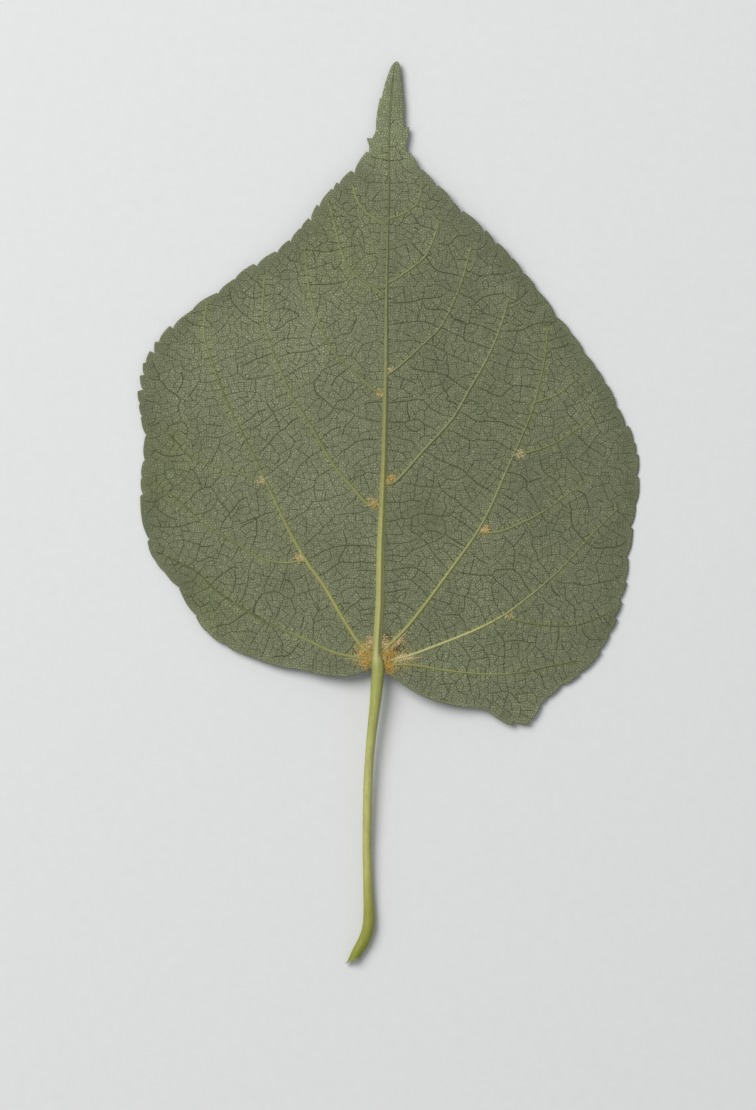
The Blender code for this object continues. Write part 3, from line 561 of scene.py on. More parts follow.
# The cross veins that stand out between the side veins, each as x, y, x, y and so on
CROSS_VEINS = [
    (151, 360, 154, 367, 157, 372, 159, 380),
    (203, 326, 195, 325, 188, 321, 184, 316),
    (159, 380, 163, 384, 168, 389, 175, 394, 180, 399),
    (180, 399, 177, 407, 179, 414, 180, 421),
    (181, 371, 182, 380, 180, 386, 176, 392),
    (198, 381, 195, 387, 190, 393, 188, 397),
    (150, 426, 154, 424, 158, 422),
    (167, 428, 170, 425, 177, 422, 181, 421, 185, 424, 187, 430, 186, 437),
    (200, 408, 197, 416, 197, 426, 198, 434, 196, 441, 191, 448),
    (200, 424, 207, 423.5, 215, 425, 222, 426),
    (169, 433, 173, 439, 179, 445, 182, 451, 186, 454, 190, 457, 192, 461),
    (150, 450, 156, 451, 163, 454.5, 170, 455.5, 179, 455, 185, 453),
    (220, 436, 219, 444, 217, 450, 213, 456, 210, 463),
    (198, 436, 208, 436, 216, 437, 225, 434, 233, 431),
    (165, 494, 158, 499, 153, 501.5, 146, 501, 142, 499.5),
    (153, 501, 155, 506, 160, 511),
    (189, 500, 195, 492, 203, 487.5, 210, 486.5, 216, 480, 221, 474),
    (210, 486.5, 214, 492, 217, 497, 214, 504, 212, 508, 204, 512, 201, 517),
    (217, 498, 222, 504, 229, 512, 226, 516, 222, 522, 220, 529),
    (229, 512, 233, 508, 240, 500, 246, 497),
    (149, 522, 154, 526, 166, 526.5, 180, 525.5, 190, 523, 195, 521),
    (181, 531, 182.5, 537, 183, 545, 180, 551, 177, 556),
    (207, 529, 203, 535, 200, 540, 198, 547, 196, 560, 203, 559, 208, 556, 215, 558, 218, 557, 219, 552,
     222, 543, 226, 538),
    (198, 546, 206, 546, 213, 545),
    (209, 586, 202, 590, 196, 593, 192, 597, 184, 595),
    (192, 598, 195, 602, 199, 606, 204, 604, 209, 600),
    (224, 598, 220, 602, 218, 605, 216, 608, 212, 611),
    (215, 626, 220, 624.5, 228, 624, 233, 621, 240, 616, 246, 612, 252, 613, 258, 616, 265, 620),
    (252, 614, 253, 606, 256, 600, 262, 594),
    (211, 584, 215, 579, 219, 576, 224, 572, 231, 567, 237, 567),
    (234, 570, 235, 577, 234, 583, 232, 592),
    (247, 572, 247, 580, 245, 590, 243, 597, 238, 602),
    (247, 572, 250, 563, 253, 556),
    (230, 560, 233, 556, 237, 549, 240, 545),
    (240, 528, 245, 524, 252, 521, 256, 517),
    (160, 511, 168, 516, 176, 519),
    (228, 286, 229, 292, 230, 299, 235, 306, 242, 312, 250, 319, 258, 324, 261, 330),
    (245, 271, 248, 276, 253, 280, 260, 284),
    (286, 256, 289, 260, 294, 262, 300, 263),
    (239, 289, 244, 293, 252, 298, 262, 296, 270, 294),
    (278, 292, 282, 297, 285, 299),
    (300, 271, 306, 269, 313, 268, 322, 265, 330, 263),
    (333, 270, 338, 266, 341, 262),
    (275, 310, 283, 308, 292, 311, 298, 315, 291, 320, 284, 321),
    (305, 285, 320, 285, 335, 284, 345, 281),
    (347, 212, 353, 208, 357, 205),
    (325, 217, 335, 216, 345, 216),
    (300, 251, 312, 250, 325, 252, 337, 250, 345, 247, 360, 245),
    (360, 245, 363, 251, 365, 254, 375, 254),
    (330, 300, 334, 306, 338, 309, 342, 312),
    (352, 313, 356, 317, 354, 322, 350, 327),
    (388, 303, 400, 302.5, 412, 302, 421, 299.5, 432, 298, 441, 296, 444, 292),
    (503, 274, 509, 272.5, 514, 269),
    (507, 302, 510, 303, 516, 300, 522, 295, 527, 290),
    (500, 331, 511, 331, 520, 330, 527, 327, 533, 324, 545, 322, 553, 322),
    (545, 326, 551, 323, 556, 320),
    (549, 349, 558, 347, 565, 345.5, 568, 342),
    (561, 401, 565, 406, 566, 413),
    (567, 414, 573, 419, 579, 425),
    (583, 403, 589, 405, 595, 408, 600, 404),
    (576, 434, 581, 439, 586, 445, 592, 449, 600, 454, 603, 456),
    (515, 423, 523, 426, 532, 430),
    (497, 344, 503, 347, 509, 350, 515, 353, 522, 353, 527, 353, 532, 357, 540, 361),
    (489, 360, 495, 362, 502, 364, 509, 367, 516, 368, 521, 366, 530, 368, 545, 371),
    (475, 386, 480, 388, 486, 391, 492, 394, 500, 396, 505, 391, 509, 387, 513, 385, 520, 385, 530, 386,
     537, 389),
    (510, 400, 517, 402, 525, 402),
    (512, 411, 520, 413, 528, 414),
    (606, 465, 612, 467, 620, 469, 622, 474),
    (571, 465, 577, 470, 580, 475, 582, 482),
    (542, 471, 548, 476, 552, 478, 557, 484, 560, 491, 562, 497),
    (576, 490, 582, 493, 585, 499, 587, 505, 588, 511),
    (555, 459, 562, 457, 566, 457, 571, 465),
    (555, 459, 556, 467, 553, 474),
    (537, 452, 539, 460, 541, 469),
    (567, 501, 570, 508, 570, 516, 571, 525, 575, 530, 580, 536, 584, 541, 588, 544),
    (588, 545, 593, 547, 599, 548, 605, 547, 613, 546.5, 620, 545, 625, 541),
    (553, 579, 562, 582, 572, 582.5, 580, 584, 588, 584, 597, 582, 607, 580.5, 613, 579),
    (616, 510, 621, 514, 625, 517),
    (563, 583, 564, 590, 564, 597, 568, 602, 573, 605, 574, 612, 573, 620),
    (504, 674, 505, 680, 507, 688, 508, 691, 505, 698, 502, 708),
    (509, 692, 514, 697, 518, 702),
    (493, 626, 498, 633, 503, 641, 503.5, 650, 503, 660, 503, 672),
    (503, 641, 512, 640, 520, 640, 528, 641.5, 534, 642),
    (536, 628, 535, 635, 534, 642, 534, 646, 529, 651, 526, 656, 527, 663, 528.5, 669),
    (534, 646, 540, 651, 543, 656, 545, 661),
    (557, 627, 557, 635, 556, 643),
    (581, 625, 582, 632, 586, 636, 589, 639, 595, 639, 603, 639),
    (538, 671, 541, 678, 543, 686, 547, 689),
    (561, 665, 563, 671, 565, 676, 561, 679),
    (603, 617, 606, 622, 609, 625),
    (537, 596, 543, 599, 548, 603, 555, 606, 560, 610),
    (534, 604, 538, 610, 541, 615, 541.5, 621),
    (550, 583, 552, 590, 558, 596),
    (240, 347, 247, 343, 256, 340, 262, 337),
    (272, 346, 278, 341, 286, 338, 295, 338.5, 302, 337, 307, 339),
    (286, 338, 289, 332, 289, 325),
    (240, 366, 248, 362, 256, 358.5, 265, 356, 272, 353),
    (277, 357, 284, 355, 290, 353, 300, 351.5, 310, 350.5, 318, 346, 324, 342, 329, 337),
    (334, 339, 341, 335, 348, 333.5, 351, 330, 353, 325, 356, 320),
    (242, 379, 250, 378.5, 258, 377.5, 265, 376, 271, 375),
    (255, 378, 255, 385, 255.5, 391, 253, 396, 249, 400, 244, 404, 238, 407),
    (287, 376, 293, 372, 298, 368, 302, 366, 306, 363),
    (321, 370, 328, 367, 335, 364, 341, 361),
    (321, 370, 318, 376, 314, 381, 314, 387, 316, 393, 320, 397, 325, 401, 329, 405, 333, 408),
    (331, 385, 334, 380, 338, 376, 343, 371, 348, 368),
    (275, 397, 280, 395.5, 286, 393, 289, 391),
    (266, 400, 268, 406, 272, 411, 275, 418, 278, 424, 279, 430),
    (272, 411, 280, 408.5, 287, 405.5, 293, 402),
    (240, 425, 247, 420, 253, 415, 256, 412, 267, 408.5),
    (250, 430, 258, 425, 265, 420, 272, 413),
    (258, 455, 263, 449, 270, 440, 275, 434, 281, 430, 285, 428, 289, 423, 294, 419, 299, 417),
    (285, 430, 289, 435, 294, 441, 291, 448, 290, 455, 287, 459, 281, 463, 275, 468, 269, 473, 265, 476),
    (275, 496, 281, 489, 288, 483, 294, 477, 296, 470, 300, 464, 306, 459, 312, 455, 319, 451, 322, 448),
    (313, 424, 319, 420, 326, 416, 331, 411, 333, 408, 338, 401, 345, 399, 350, 395, 353, 391, 358, 387,
     363, 384),
    (322, 436, 328, 432, 333, 429, 340, 427),
    (336, 457, 341, 452, 347, 448, 353, 443, 357, 441, 365, 439.5, 378, 439),
    (333, 408, 342, 409, 349, 411, 354, 415.5, 349, 421, 344, 426, 342, 432, 341, 438),
    (354, 415.5, 362, 418, 370, 420, 380, 422),
    (351, 467, 356, 463, 361, 458, 367, 456, 374, 454, 381, 453),
    (350, 483, 356, 477, 362, 475, 366, 472, 374, 473, 380, 473),
    (295, 495, 302, 491, 309, 488, 314, 485, 316, 478, 321, 474, 327, 470, 333, 467),
    (314, 485, 314, 492, 316, 500),
    (326, 500, 335, 496, 344, 493, 350, 489),
    (364, 404, 372, 402, 381, 402),
    (324, 329, 330, 325, 336, 321),
    (270, 331, 277, 329, 283, 325, 288, 321),
    (240, 523, 247, 520, 256, 517, 265, 513, 270, 512, 274, 510),
    (256, 517, 256, 525, 256, 532, 254, 539, 251, 547),
    (287, 521, 294, 517, 300, 513, 306, 510, 308, 507, 312, 502, 319, 501, 327, 499),
    (302, 547, 308, 541, 313, 536, 319, 531, 323, 526, 330, 520, 335, 515, 345, 513, 355, 513, 362, 511,
     368, 508.5),
    (308, 558, 315, 555, 322, 551, 328, 549, 336, 546, 345, 545, 355, 545, 362, 545, 370, 546, 376, 548),
    (320, 575, 326, 571, 331, 567, 337, 563, 342, 561.5, 350, 562, 360, 561, 368, 562, 376, 562),
    (338, 563, 340, 555, 343, 550, 345, 545, 345, 539, 343, 534, 342, 529),
    (329, 583, 335, 580, 342, 577, 348, 574),
    (340, 592, 346, 588, 353, 586, 362, 587, 375, 587),
    (342, 614, 346, 609, 350, 605, 355, 602, 360, 599, 367, 597.5, 373, 596.5),
    (295, 595, 303, 592, 310, 590, 318, 587),
    (253, 612, 254, 607, 256, 601, 259, 596, 264, 593, 268, 591.5, 275, 590.5, 280, 592.5, 284, 597, 280,
     603, 278, 610, 275, 617, 272, 622),
    (284, 597, 291, 599, 293, 606, 295, 611, 291, 618, 288, 625),
    (275, 561, 273, 567, 270, 573, 266, 580, 264, 587, 264, 593),
    (287, 564, 286, 571, 283, 577, 281, 583, 279, 590),
    (283, 578, 289, 580, 293, 585, 294, 592),
    (312, 602, 317, 610, 314, 617, 313, 625, 313, 632, 312, 638),
    (317, 610, 323, 608, 329, 605),
    (303, 615, 302, 622, 299, 628),
    (300, 641, 296, 645, 292, 651, 286, 655, 278, 655, 270, 657),
    (265, 622, 259, 629, 255, 635, 251, 642, 247, 645),
    (343, 507, 350, 502, 355, 499),
    (362, 523, 370, 524, 377, 525),
    (355, 570, 365, 570, 376, 571),
    (362, 614, 371, 613),
    (421, 300, 424, 307, 430, 309.5, 438, 309.5, 444, 311, 449, 313, 452, 318, 458, 321, 464, 324, 470,
     323, 476, 325, 481, 326, 487, 329, 494, 331.5, 498, 333),
    (464, 324, 463, 331, 462, 338, 465, 341, 472, 342, 479, 345, 485, 347.5, 490, 349),
    (389, 325, 400, 323.5, 410, 322, 417, 321, 425, 322, 431, 324, 437, 327, 443, 329, 450, 333, 456,
     335, 462, 337),
    (388, 342, 396, 341, 404, 341, 412, 340, 419, 342, 425, 343, 431, 345, 437, 348, 443, 351, 447, 354,
     454, 357, 461, 360, 469, 361.5, 474, 363, 480, 367),
    (447, 354, 445, 361, 447, 367, 447, 374, 443, 380, 440, 384, 432, 386, 426, 388, 423, 391, 419, 396),
    (407, 363, 412, 368, 418, 370, 425, 371, 433, 372, 440, 374, 446, 376, 451, 380, 457, 384, 463, 388,
     468, 390),
    (440, 384, 443, 390, 447, 395, 445, 400, 452, 402, 457, 406),
    (388, 403, 395, 402, 402, 401, 408, 401, 415, 399, 421, 400, 426, 404, 430, 408, 436, 411, 442, 415),
    (388, 422, 396, 422, 404, 422, 409, 420, 416, 419, 420, 421, 424, 425, 430, 427, 436, 431),
    (404, 422, 406, 428, 412, 431, 417, 431, 420, 427),
    (407, 402, 406, 409, 408, 415, 409, 420),
    (400, 439, 406, 439.5, 411, 441, 414, 445, 412, 449),
    (391, 377, 397, 377, 403, 379, 409, 381, 414, 384),
    (446, 430, 453, 432, 460, 435, 465, 438, 470, 440, 477, 439, 484, 440, 492, 440, 498, 442, 504, 446,
     510, 450, 515, 451),
    (468, 440, 468, 448, 467, 455),
    (459, 411, 464, 414, 470, 418, 476, 420.5, 484, 421, 494, 421, 501, 422, 507, 425, 514, 427, 520,
     430),
    (467, 399, 472, 401, 478, 404),
    (409, 241, 414, 247, 420, 254, 427, 260, 433, 268, 440, 272, 447, 273, 455, 275, 462, 277),
    (470, 272, 476, 275, 484, 276, 490, 274.5, 500, 274, 508, 273),
    (436, 243, 443, 244, 447, 245, 452, 241, 456, 237, 466, 236, 470, 233),
    (447, 245, 449, 251, 452, 257, 455, 263, 456, 268),
    (456, 260, 463, 260, 470, 262),
    (470, 250, 477, 249, 483, 246, 486, 240),
    (412, 215, 416, 222, 421, 226, 430, 229, 436, 231),
    (449, 317, 456, 319, 463, 322),
    (421, 287, 427, 287, 434, 285, 441, 287, 448, 290, 458, 292, 463, 296, 470, 298, 475, 303),
    (475, 303, 480, 298, 487, 295, 495, 294, 503, 293),
    (475, 303, 480, 309, 484, 313, 491, 315, 496, 317),
    (387, 450, 396, 451, 402, 454),
    (424, 452, 431, 455, 437, 458, 443, 461, 450, 464, 457, 467, 462, 470, 466, 475, 470, 478, 477, 483,
     484, 487, 492, 492),
    (417, 464, 424, 466, 430, 470, 436, 473),
    (400, 481, 408, 483, 416, 485, 424, 486, 432, 486, 438, 486, 442, 482, 446, 479, 455, 480, 461, 477,
     466, 475),
    (438, 486, 442, 491, 447, 495, 453, 498, 458, 502, 462, 506, 467, 510, 473, 515, 478, 519),
    (430, 490, 429, 496, 426, 502, 424, 507, 424, 513, 432, 514, 440, 516, 443, 511, 445, 507, 443, 501,
     443, 496),
    (384, 502, 395, 502, 404, 502, 410, 500, 417, 501, 421, 503),
    (385, 521, 393, 520, 400, 518, 408, 517.5, 413, 515, 418, 513, 424, 513),
    (411, 518, 411, 525, 410, 530, 415, 533, 419, 536),
    (440, 516, 443, 523, 444, 529, 444, 533, 441, 536, 435, 540, 427, 543, 423, 540, 419, 538, 413, 539,
     405, 542, 395, 543, 385, 543),
    (419, 536, 421, 532, 426, 530, 434, 530, 440, 533),
    (444, 533, 450, 538, 457, 542, 464, 546),
    (440, 516, 450, 515, 455, 518, 462, 523, 469, 528, 474, 532),
    (385, 555, 395, 554, 404, 556, 408, 552, 413, 549, 420, 547, 427, 543),
    (427, 543, 430, 549, 434, 554, 438, 560, 443, 565, 447, 570),
    (416, 569, 418, 562, 423, 557, 430, 555),
    (383, 570, 392, 570, 400, 568, 408, 566.5, 414, 567, 420, 571, 427, 576, 433, 582, 438, 587),
    (383, 582, 392, 581, 400, 579, 407, 578, 411, 579, 415, 584, 420, 588, 424, 593, 428, 598),
    (411, 579, 415, 573, 416, 569),
    (383, 592, 392, 591, 400, 589, 409, 588),
    (382, 601, 390, 601, 398, 601, 404, 603.5, 411, 608, 415, 611),
    (381, 614, 388, 613, 393, 612, 397, 616, 400, 622, 401, 628),
    (418, 622, 424, 627, 428, 631, 430, 640, 431, 647),
    (433, 612, 437, 615, 440, 621, 443, 627, 446, 634, 447, 640),
    (455, 571, 462, 573, 470, 574, 480, 575, 491, 575, 494, 579, 499, 583, 505, 588, 510, 595, 515, 602),
    (491, 575, 494, 570, 500, 569, 511, 568.5, 517, 573, 522, 580, 527, 588, 530, 592),
    (468, 551, 474, 555, 480, 560, 486, 563),
    (495, 503, 502, 505, 508, 509, 513, 514),
    (509, 472, 516, 474, 523, 478, 526, 482, 525, 488, 530, 493, 533, 499, 536, 505, 539, 511, 542, 517,
     547, 523),
    (526, 482, 533, 480, 540, 478),
    (500, 492, 506, 496, 512, 500),
    (502, 533, 505, 538, 510, 544, 513, 550, 513, 557, 512, 563, 511, 568.5),
    (524, 523, 529, 530, 532, 538, 531, 545, 535, 552, 536, 558, 540, 564, 545, 570, 550, 578),
    (491, 511, 497, 514, 502, 519),
    (442, 590, 450, 592, 457, 594, 463, 595.5, 470, 598, 475, 602, 479, 607, 481, 613, 484, 618, 485,
     622),
    (471, 578, 468, 585, 467, 592, 463, 595.5, 463, 602, 462, 609, 458, 614, 461, 619, 464, 625, 465,
     630),
    (440, 614, 450, 614, 458, 614),
    (440, 600, 446, 602, 453, 603),
    (494, 580, 490, 585, 491, 592, 493, 600, 497, 607, 501, 614),
    (472, 636, 476, 641, 481, 646, 485, 652, 488, 659, 487, 668),
    (455, 640, 461, 646, 466, 653, 469, 658, 467, 664, 465, 670, 467, 678, 469, 686, 470, 693),
    (441, 671, 442, 680, 445, 687, 448, 692),
    (469, 658, 478, 658, 486, 656),
    (523, 673, 525, 680, 523, 686, 517, 688),
]
# How far from the notches the net ends, and the half width and height of each kind of its veins
NET_INSET = 0.35
CROSS_VEIN = (0.052, 0.024)
LARGE_VEIN = (0.047, 0.021)
SMALL_VEIN = (0.045, 0.016)
TOOTH_BULGE = 0.075
MARGIN_STEP = 0.12
COARSE_MARGIN_STEP = 0.5

# The net's cells grow round seeds: how far apart they are along a line, and how far off it on both sides
LARGE_BESIDE_CROSS_VEIN = (1.5, 0.75)
LARGE_BESIDE_VEIN = (2.2, 1.2)
LARGE_INSIDE_MARGIN = (2.1, 1.0)
SMALL_BESIDE_VEIN = (0.85, 0.45)
SMALL_INSIDE_MARGIN = (0.8, 0.42)
SMALL_BESIDE_LARGE = (0.8, 0.38)
# Elsewhere, how far apart the seeds are, and how many large ones are tried
LARGE_CELL = 2.0
SMALL_CELL = 0.82
TRIES = 6000
# The rungs near the joint: the first one's radius, the limit and the step from one to the next, and a cell's
# length along a rung
RUNGS = (2.7, 14.5, 1.2)
RUNG_CELL = 2.4

# The numbers of the two inner basal veins, counted from the midrib as 0
INNER_BASALS = [1 + list(SIDE_VEINS).index(f"basal_vein_{side}_inner") for side in ("left", "right")]

# How deep the blade sinks between the main veins, in the furrow beside them, and at its edge
QUILT_DEPTH = 0.08
FURROW_DEPTH = 0.02
EDGE_DEPTH = 0.06


def toothed(base, teeth, point, outward, step):
    """A margin: smooth from the stalk, then teeth, then smooth to the tip.

    A tooth's long side runs from the notch before it to its tip and bulges out by a part of its length, as
    sin(pi t^0.8), and its short side drops straight to the next notch.
    """
    stretches = [smooth_path(base, step)]
    for tip_x, tip_y, notch_x, notch_y in teeth:
        start = stretches[-1][-1]
        side, drop = (tip_x, tip_y) - start, np.array((notch_x - tip_x, notch_y - tip_y))
        t = np.linspace(0, 1, max(4, int(np.hypot(*side) / step)))[1:, None]
        away = outward * np.array((-side[1], side[0]))
        stretches.append(start + t * side + TOOTH_BULGE * np.sin(np.pi * t**0.8) * away)
        t = np.linspace(0, 1, max(2, int(np.hypot(*drop) / step)))[1:, None]
        stretches.append(stretches[-1][-1] + t * drop)
    stretches.append(smooth_path(np.vstack([stretches[-1][-1], point]), step)[1:])
    return np.vstack(stretches)


def nearest_on(points, paths):
    """For each point, the distance to the nearest path and the number of that path."""
    best = np.full(len(points), 1e9)
    which = np.zeros(len(points), int)
    for number, path in enumerate(paths):
        for a, b in zip(path, path[1:]):
            span = b - a
            t = np.clip((points - a) @ span / (span @ span), 0, 1)
            apart = np.hypot(*(points - a - t[:, None] * span).T)
            nearer = apart < best
            best[nearer] = apart[nearer]
            which[nearer] = number
    return best, which


def scattered(first, second):
    """A number from 0 to 1 that looks random, the same for a pair of numbers in either order."""
    low, high = np.minimum(first, second), np.maximum(first, second)
    return np.abs(np.sin(low * 12.9898 + high * 78.233 + 1) * 43758.5453) % 1


def wobble(points, wavelength, rng):
    """A smooth random field: the mean of six sine waves of about one wavelength in random directions."""
    total = np.zeros(len(points))
    for _ in range(6):
        turn, phase, size = rng.uniform(0, 2 * np.pi), rng.uniform(0, 2 * np.pi), rng.uniform(0.7, 1.5)
        wave = 2 * np.pi / (wavelength * size) * (points @ (np.cos(turn), np.sin(turn)))
        total += np.sin(wave + phase)
    return total / 2.4


def borders(seeds):
    """The borders between the cells of neighbouring seeds: both ends of each, and its two seeds.

    Three cells meet at the circumcentre of a Delaunay triangle, and a border joins the circumcentres of two
    triangles that share a side.
    """
    triangles = np.array(delaunay_2d_cdt(seeds.tolist(), [], [], 0, 1e-9)[2])
    a, b, c = (seeds[triangles[:, corner]] for corner in range(3))
    ab, ac = b - a, c - a
    ab_square, ac_square = (ab**2).sum(axis=1), (ac**2).sum(axis=1)
    twice = 2 * (ab[:, 0] * ac[:, 1] - ab[:, 1] * ac[:, 0])
    centre = a + np.column_stack([
        ac[:, 1] * ab_square - ab[:, 1] * ac_square,
        ab[:, 0] * ac_square - ac[:, 0] * ab_square]) / twice[:, None]
    sides = np.sort(np.vstack([triangles[:, [0, 1]], triangles[:, [1, 2]], triangles[:, [2, 0]]]), axis=1)
    owner = np.tile(np.arange(len(triangles)), 3)
    order = np.lexsort((sides[:, 1], sides[:, 0]))
    sides, owner = sides[order], owner[order]
    shared = np.nonzero((sides[1:] == sides[:-1]).all(axis=1))[0]
    return centre[owner[shared]], centre[owner[shared + 1]], sides[shared]


def inside(points, outline):
    """Whether each point lies inside an outline: an odd number of its edges pass to the right."""
    crossings = np.zeros(len(points), int)
    for a, b in zip(outline, np.roll(outline, -1, axis=0)):
        spans = (a[1] > points[:, 1]) != (b[1] > points[:, 1])
        level = np.where(spans, (points[:, 1] - a[1]) / (b[1] - a[1] + 1e-12), 0)
        crossings += spans & (a[0] + level * (b[0] - a[0]) > points[:, 0])
    return crossings % 2 == 1


def pairs_along(path, pitch, offset, rng):
    """Mirrored pairs of seeds on both sides of a path, so that the border between their cells follows it."""
    _, left = directions_along(path)
    length = lengths_along(path)
    count = max(1, round(length[-1] / pitch))
    at = (np.arange(count) + rng.uniform(0.3, 0.7, count)) * length[-1] / count
    x, y, left_x, left_y = (np.interp(at, length, column) for column in (*path.T, *left.T))
    step = offset * rng.uniform(0.85, 1.15, count)[:, None] * np.column_stack([left_x, left_y])
    return np.stack([np.column_stack([x, y]) + step, np.column_stack([x, y]) - step], axis=1)


def spaced(seeds, least):
    """Those seeds, or rows of seeds, that are at least so far from all that come before them."""
    rows = seeds.reshape(len(seeds), -1, 2)
    kept = np.zeros((0, 2))
    for row in rows:
        if len(kept) == 0 or np.hypot(*(row[:, None, :] - kept[None, :, :]).reshape(-1, 2).T).min() > least:
            kept = np.vstack([kept, row])
    return kept


def ladder_seeds(rib, vein, rng):
    """Rows of seeds between the midrib and an inner basal vein, in rings round the joint a rung apart."""
    made = []
    for radius in np.arange(*RUNGS):
        first, last = (
            np.interp(radius, np.hypot(*line.T), np.arctan2(line[:, 1], line[:, 0])) for line in (rib, vein))
        count = max(1, round(abs(last - first) * radius / RUNG_CELL))
        at = (np.arange(count) + 0.5 + rng.uniform(-0.12, 0.12, count)) / count
        turn = first + at * (last - first)
        far = radius + rng.uniform(-0.1, 0.1, count)
        made.append(np.column_stack([far * np.cos(turn), far * np.sin(turn)]))
    return np.vstack(made)


def net_of_veins(outline, inset, vein_paths, arcs, rng):
    """Two orders of the net as borders of cells: small cells lie in large ones and share their borders."""
    large = [ladder_seeds(vein_paths[0], vein_paths[number], rng) for number in INNER_BASALS]
    pairs = [pairs_along(arc, *LARGE_BESIDE_CROSS_VEIN, rng) for arc in arcs]
    pairs += [pairs_along(path, *LARGE_BESIDE_VEIN, rng) for path in vein_paths]
    pairs.append(pairs_along(inset, *LARGE_INSIDE_MARGIN, rng))
    large = spaced(np.vstack(large)[:, None, :], 0.9)
    taken = list(large)
    for pair in np.vstack(pairs):
        apart = np.hypot(*(pair[:, None, :] - np.array(taken)[None, :, :]).reshape(-1, 2).T).min()
        if apart > 1.15:
            taken += list(pair)
    low, high = outline.min(axis=0), outline.max(axis=0)
    tries = rng.uniform(low, high, (TRIES, 2))
    tries = tries[nearest_on(tries, vein_paths)[0] > 1.6]
    for seed in tries:
        if np.hypot(*(np.array(taken) - seed).T).min() > LARGE_CELL:
            taken.append(seed)
    large = np.array(taken)
    starts, ends, _ = borders(large)
    middle = (starts + ends) / 2
    good = inside(middle, outline) & (np.hypot(*(ends - starts).T) < 8)
    pairs = [pairs_along(path, *SMALL_BESIDE_VEIN, rng) for path in [*vein_paths, *arcs]]
    pairs.append(pairs_along(inset, *SMALL_INSIDE_MARGIN, rng))
    for line in np.stack([starts[good], ends[good]], axis=1):
        pairs.append(pairs_along(line, *SMALL_BESIDE_LARGE, rng))
    small = spaced(np.vstack(pairs), 0.42)
    columns, rows = (np.arange(low[axis], high[axis], SMALL_CELL) for axis in (0, 1))
    grid = np.stack(np.meshgrid(columns, rows), axis=-1)
    grid[1::2, :, 0] += SMALL_CELL / 2
    grid = grid.reshape(-1, 2)
    grid += rng.uniform(-0.24, 0.24, grid.shape)
    apart = np.full(len(grid), 1e9)
    for block in np.array_split(small, 40):
        to_block = np.hypot(*(grid[:, None, :] - block[None, :, :]).transpose(2, 0, 1))
        apart = np.minimum(apart, to_block.min(axis=1))
    small = np.vstack([small, grid[apart > 0.52]])
    owner = np.zeros(len(small), int)
    for block in np.array_split(np.arange(len(small)), 30):
        apart = np.hypot(*(small[block][:, None, :] - large[None, :, :]).transpose(2, 0, 1))
        owner[block] = apart.argmin(axis=1)
    starts, ends, sides = borders(small)
    within = inside(small, outline)
    middle = (starts + ends) / 2
    main = nearest_on(middle, vein_paths)[0]
    good = within[sides].all(axis=1) & (main > 0.15) & (np.hypot(*(ends - starts).T) < 2.5)
    good &= inside(starts, outline) & inside(ends, outline)
    starts, ends, sides = starts[good], ends[good], sides[good]
    large_border = owner[sides[:, 0]] != owner[sides[:, 1]]
    chance = np.where(large_border, scattered(*owner[sides].T), scattered(*sides.T))
    starts, ends = straightened(starts, ends, large_border)
    return starts, ends, large_border, chance, small


def straightened(starts, ends, chosen):
    """Borders with the bends of the chosen ones evened out.

    Six times, a bend moves most of the way to the middle of its two neighbours.
    """
    places, number = np.unique(np.round(np.vstack([starts, ends]), 5), axis=0, return_inverse=True)
    first, second = number.ravel().reshape(2, -1)
    a, b = first[chosen], second[chosen]
    meeting = np.bincount(a, minlength=len(places)) + np.bincount(b, minlength=len(places))
    bends = meeting == 2
    for _ in range(6):
        total = np.zeros_like(places)
        np.add.at(total, a, places[b])
        np.add.at(total, b, places[a])
        places[bends] = 0.3 * places[bends] + 0.7 * total[bends] / 2
    return places[first], places[second]


def underside(points):
    """Height of the underside, how far the main veins and the margin are, and the nearest vein's number.

    Height is lie, less a quilt between the main veins, depth (1 - exp(-(d / 1.5)^2)), and a furrow beside
    them, depth exp(-((d - 0.3) / 0.14)^2). Both fade out at the edge.
    """
    main, vein = nearest_on(points, vein_paths)
    edge = nearest_on(points, margin_lines)[0]
    furrow = FURROW_DEPTH * np.exp(-((main - 0.3) / 0.14) ** 2)
    quilt = QUILT_DEPTH * (1 - np.exp(-(main / 1.5) ** 2))
    fade = np.clip(edge / 0.4, 0, 1)
    return lie(*points.T) - fade * (quilt + furrow) - EDGE_DEPTH * (1 - fade), main, edge, vein


def threads_of_net(name, starts, ends, half_widths, heights, tones):
    """Low three-sided ridges from point to point: foot, crest, foot."""
    along = ends - starts
    along /= np.linalg.norm(along, axis=1)[:, None] + 1e-9
    left = np.column_stack([-along[:, 1], along[:, 0]]) * half_widths[:, None]
    centres = np.stack([starts - 0.02 * along, ends + 0.02 * along], axis=1)
    level = underside(centres.reshape(-1, 2))[0].reshape(-1, 2)
    points = np.zeros((len(starts), 2, 3, 3))
    points[..., :2] = centres[:, :, None, :]
    points[..., :2] += left[:, None, None, :] * np.array((1, 0, -1))[None, None, :, None]
    points[..., 2] = level[:, :, None] + np.array((0, 1, 0)) * heights[:, None, None]
    points[..., 2] -= np.array((0.015, 0, 0.015))
    return new_piece(name, points.reshape(-1, 3), many_skins(len(starts), 2, 3), "vein", [net_finish],
                     tone=np.repeat(tones, 6))


net_finish, tree, shader = finish("net_skin", 0.6, specular=0.25)
net_tone = ramp(tree, attribute(tree, "tone"), [(0.0, (0.14, 0.156, 0.07)), (1.0, (0.064, 0.077, 0.027))])
green_skin(tree, shader, net_tone, 0.4, 5000, 0.1)

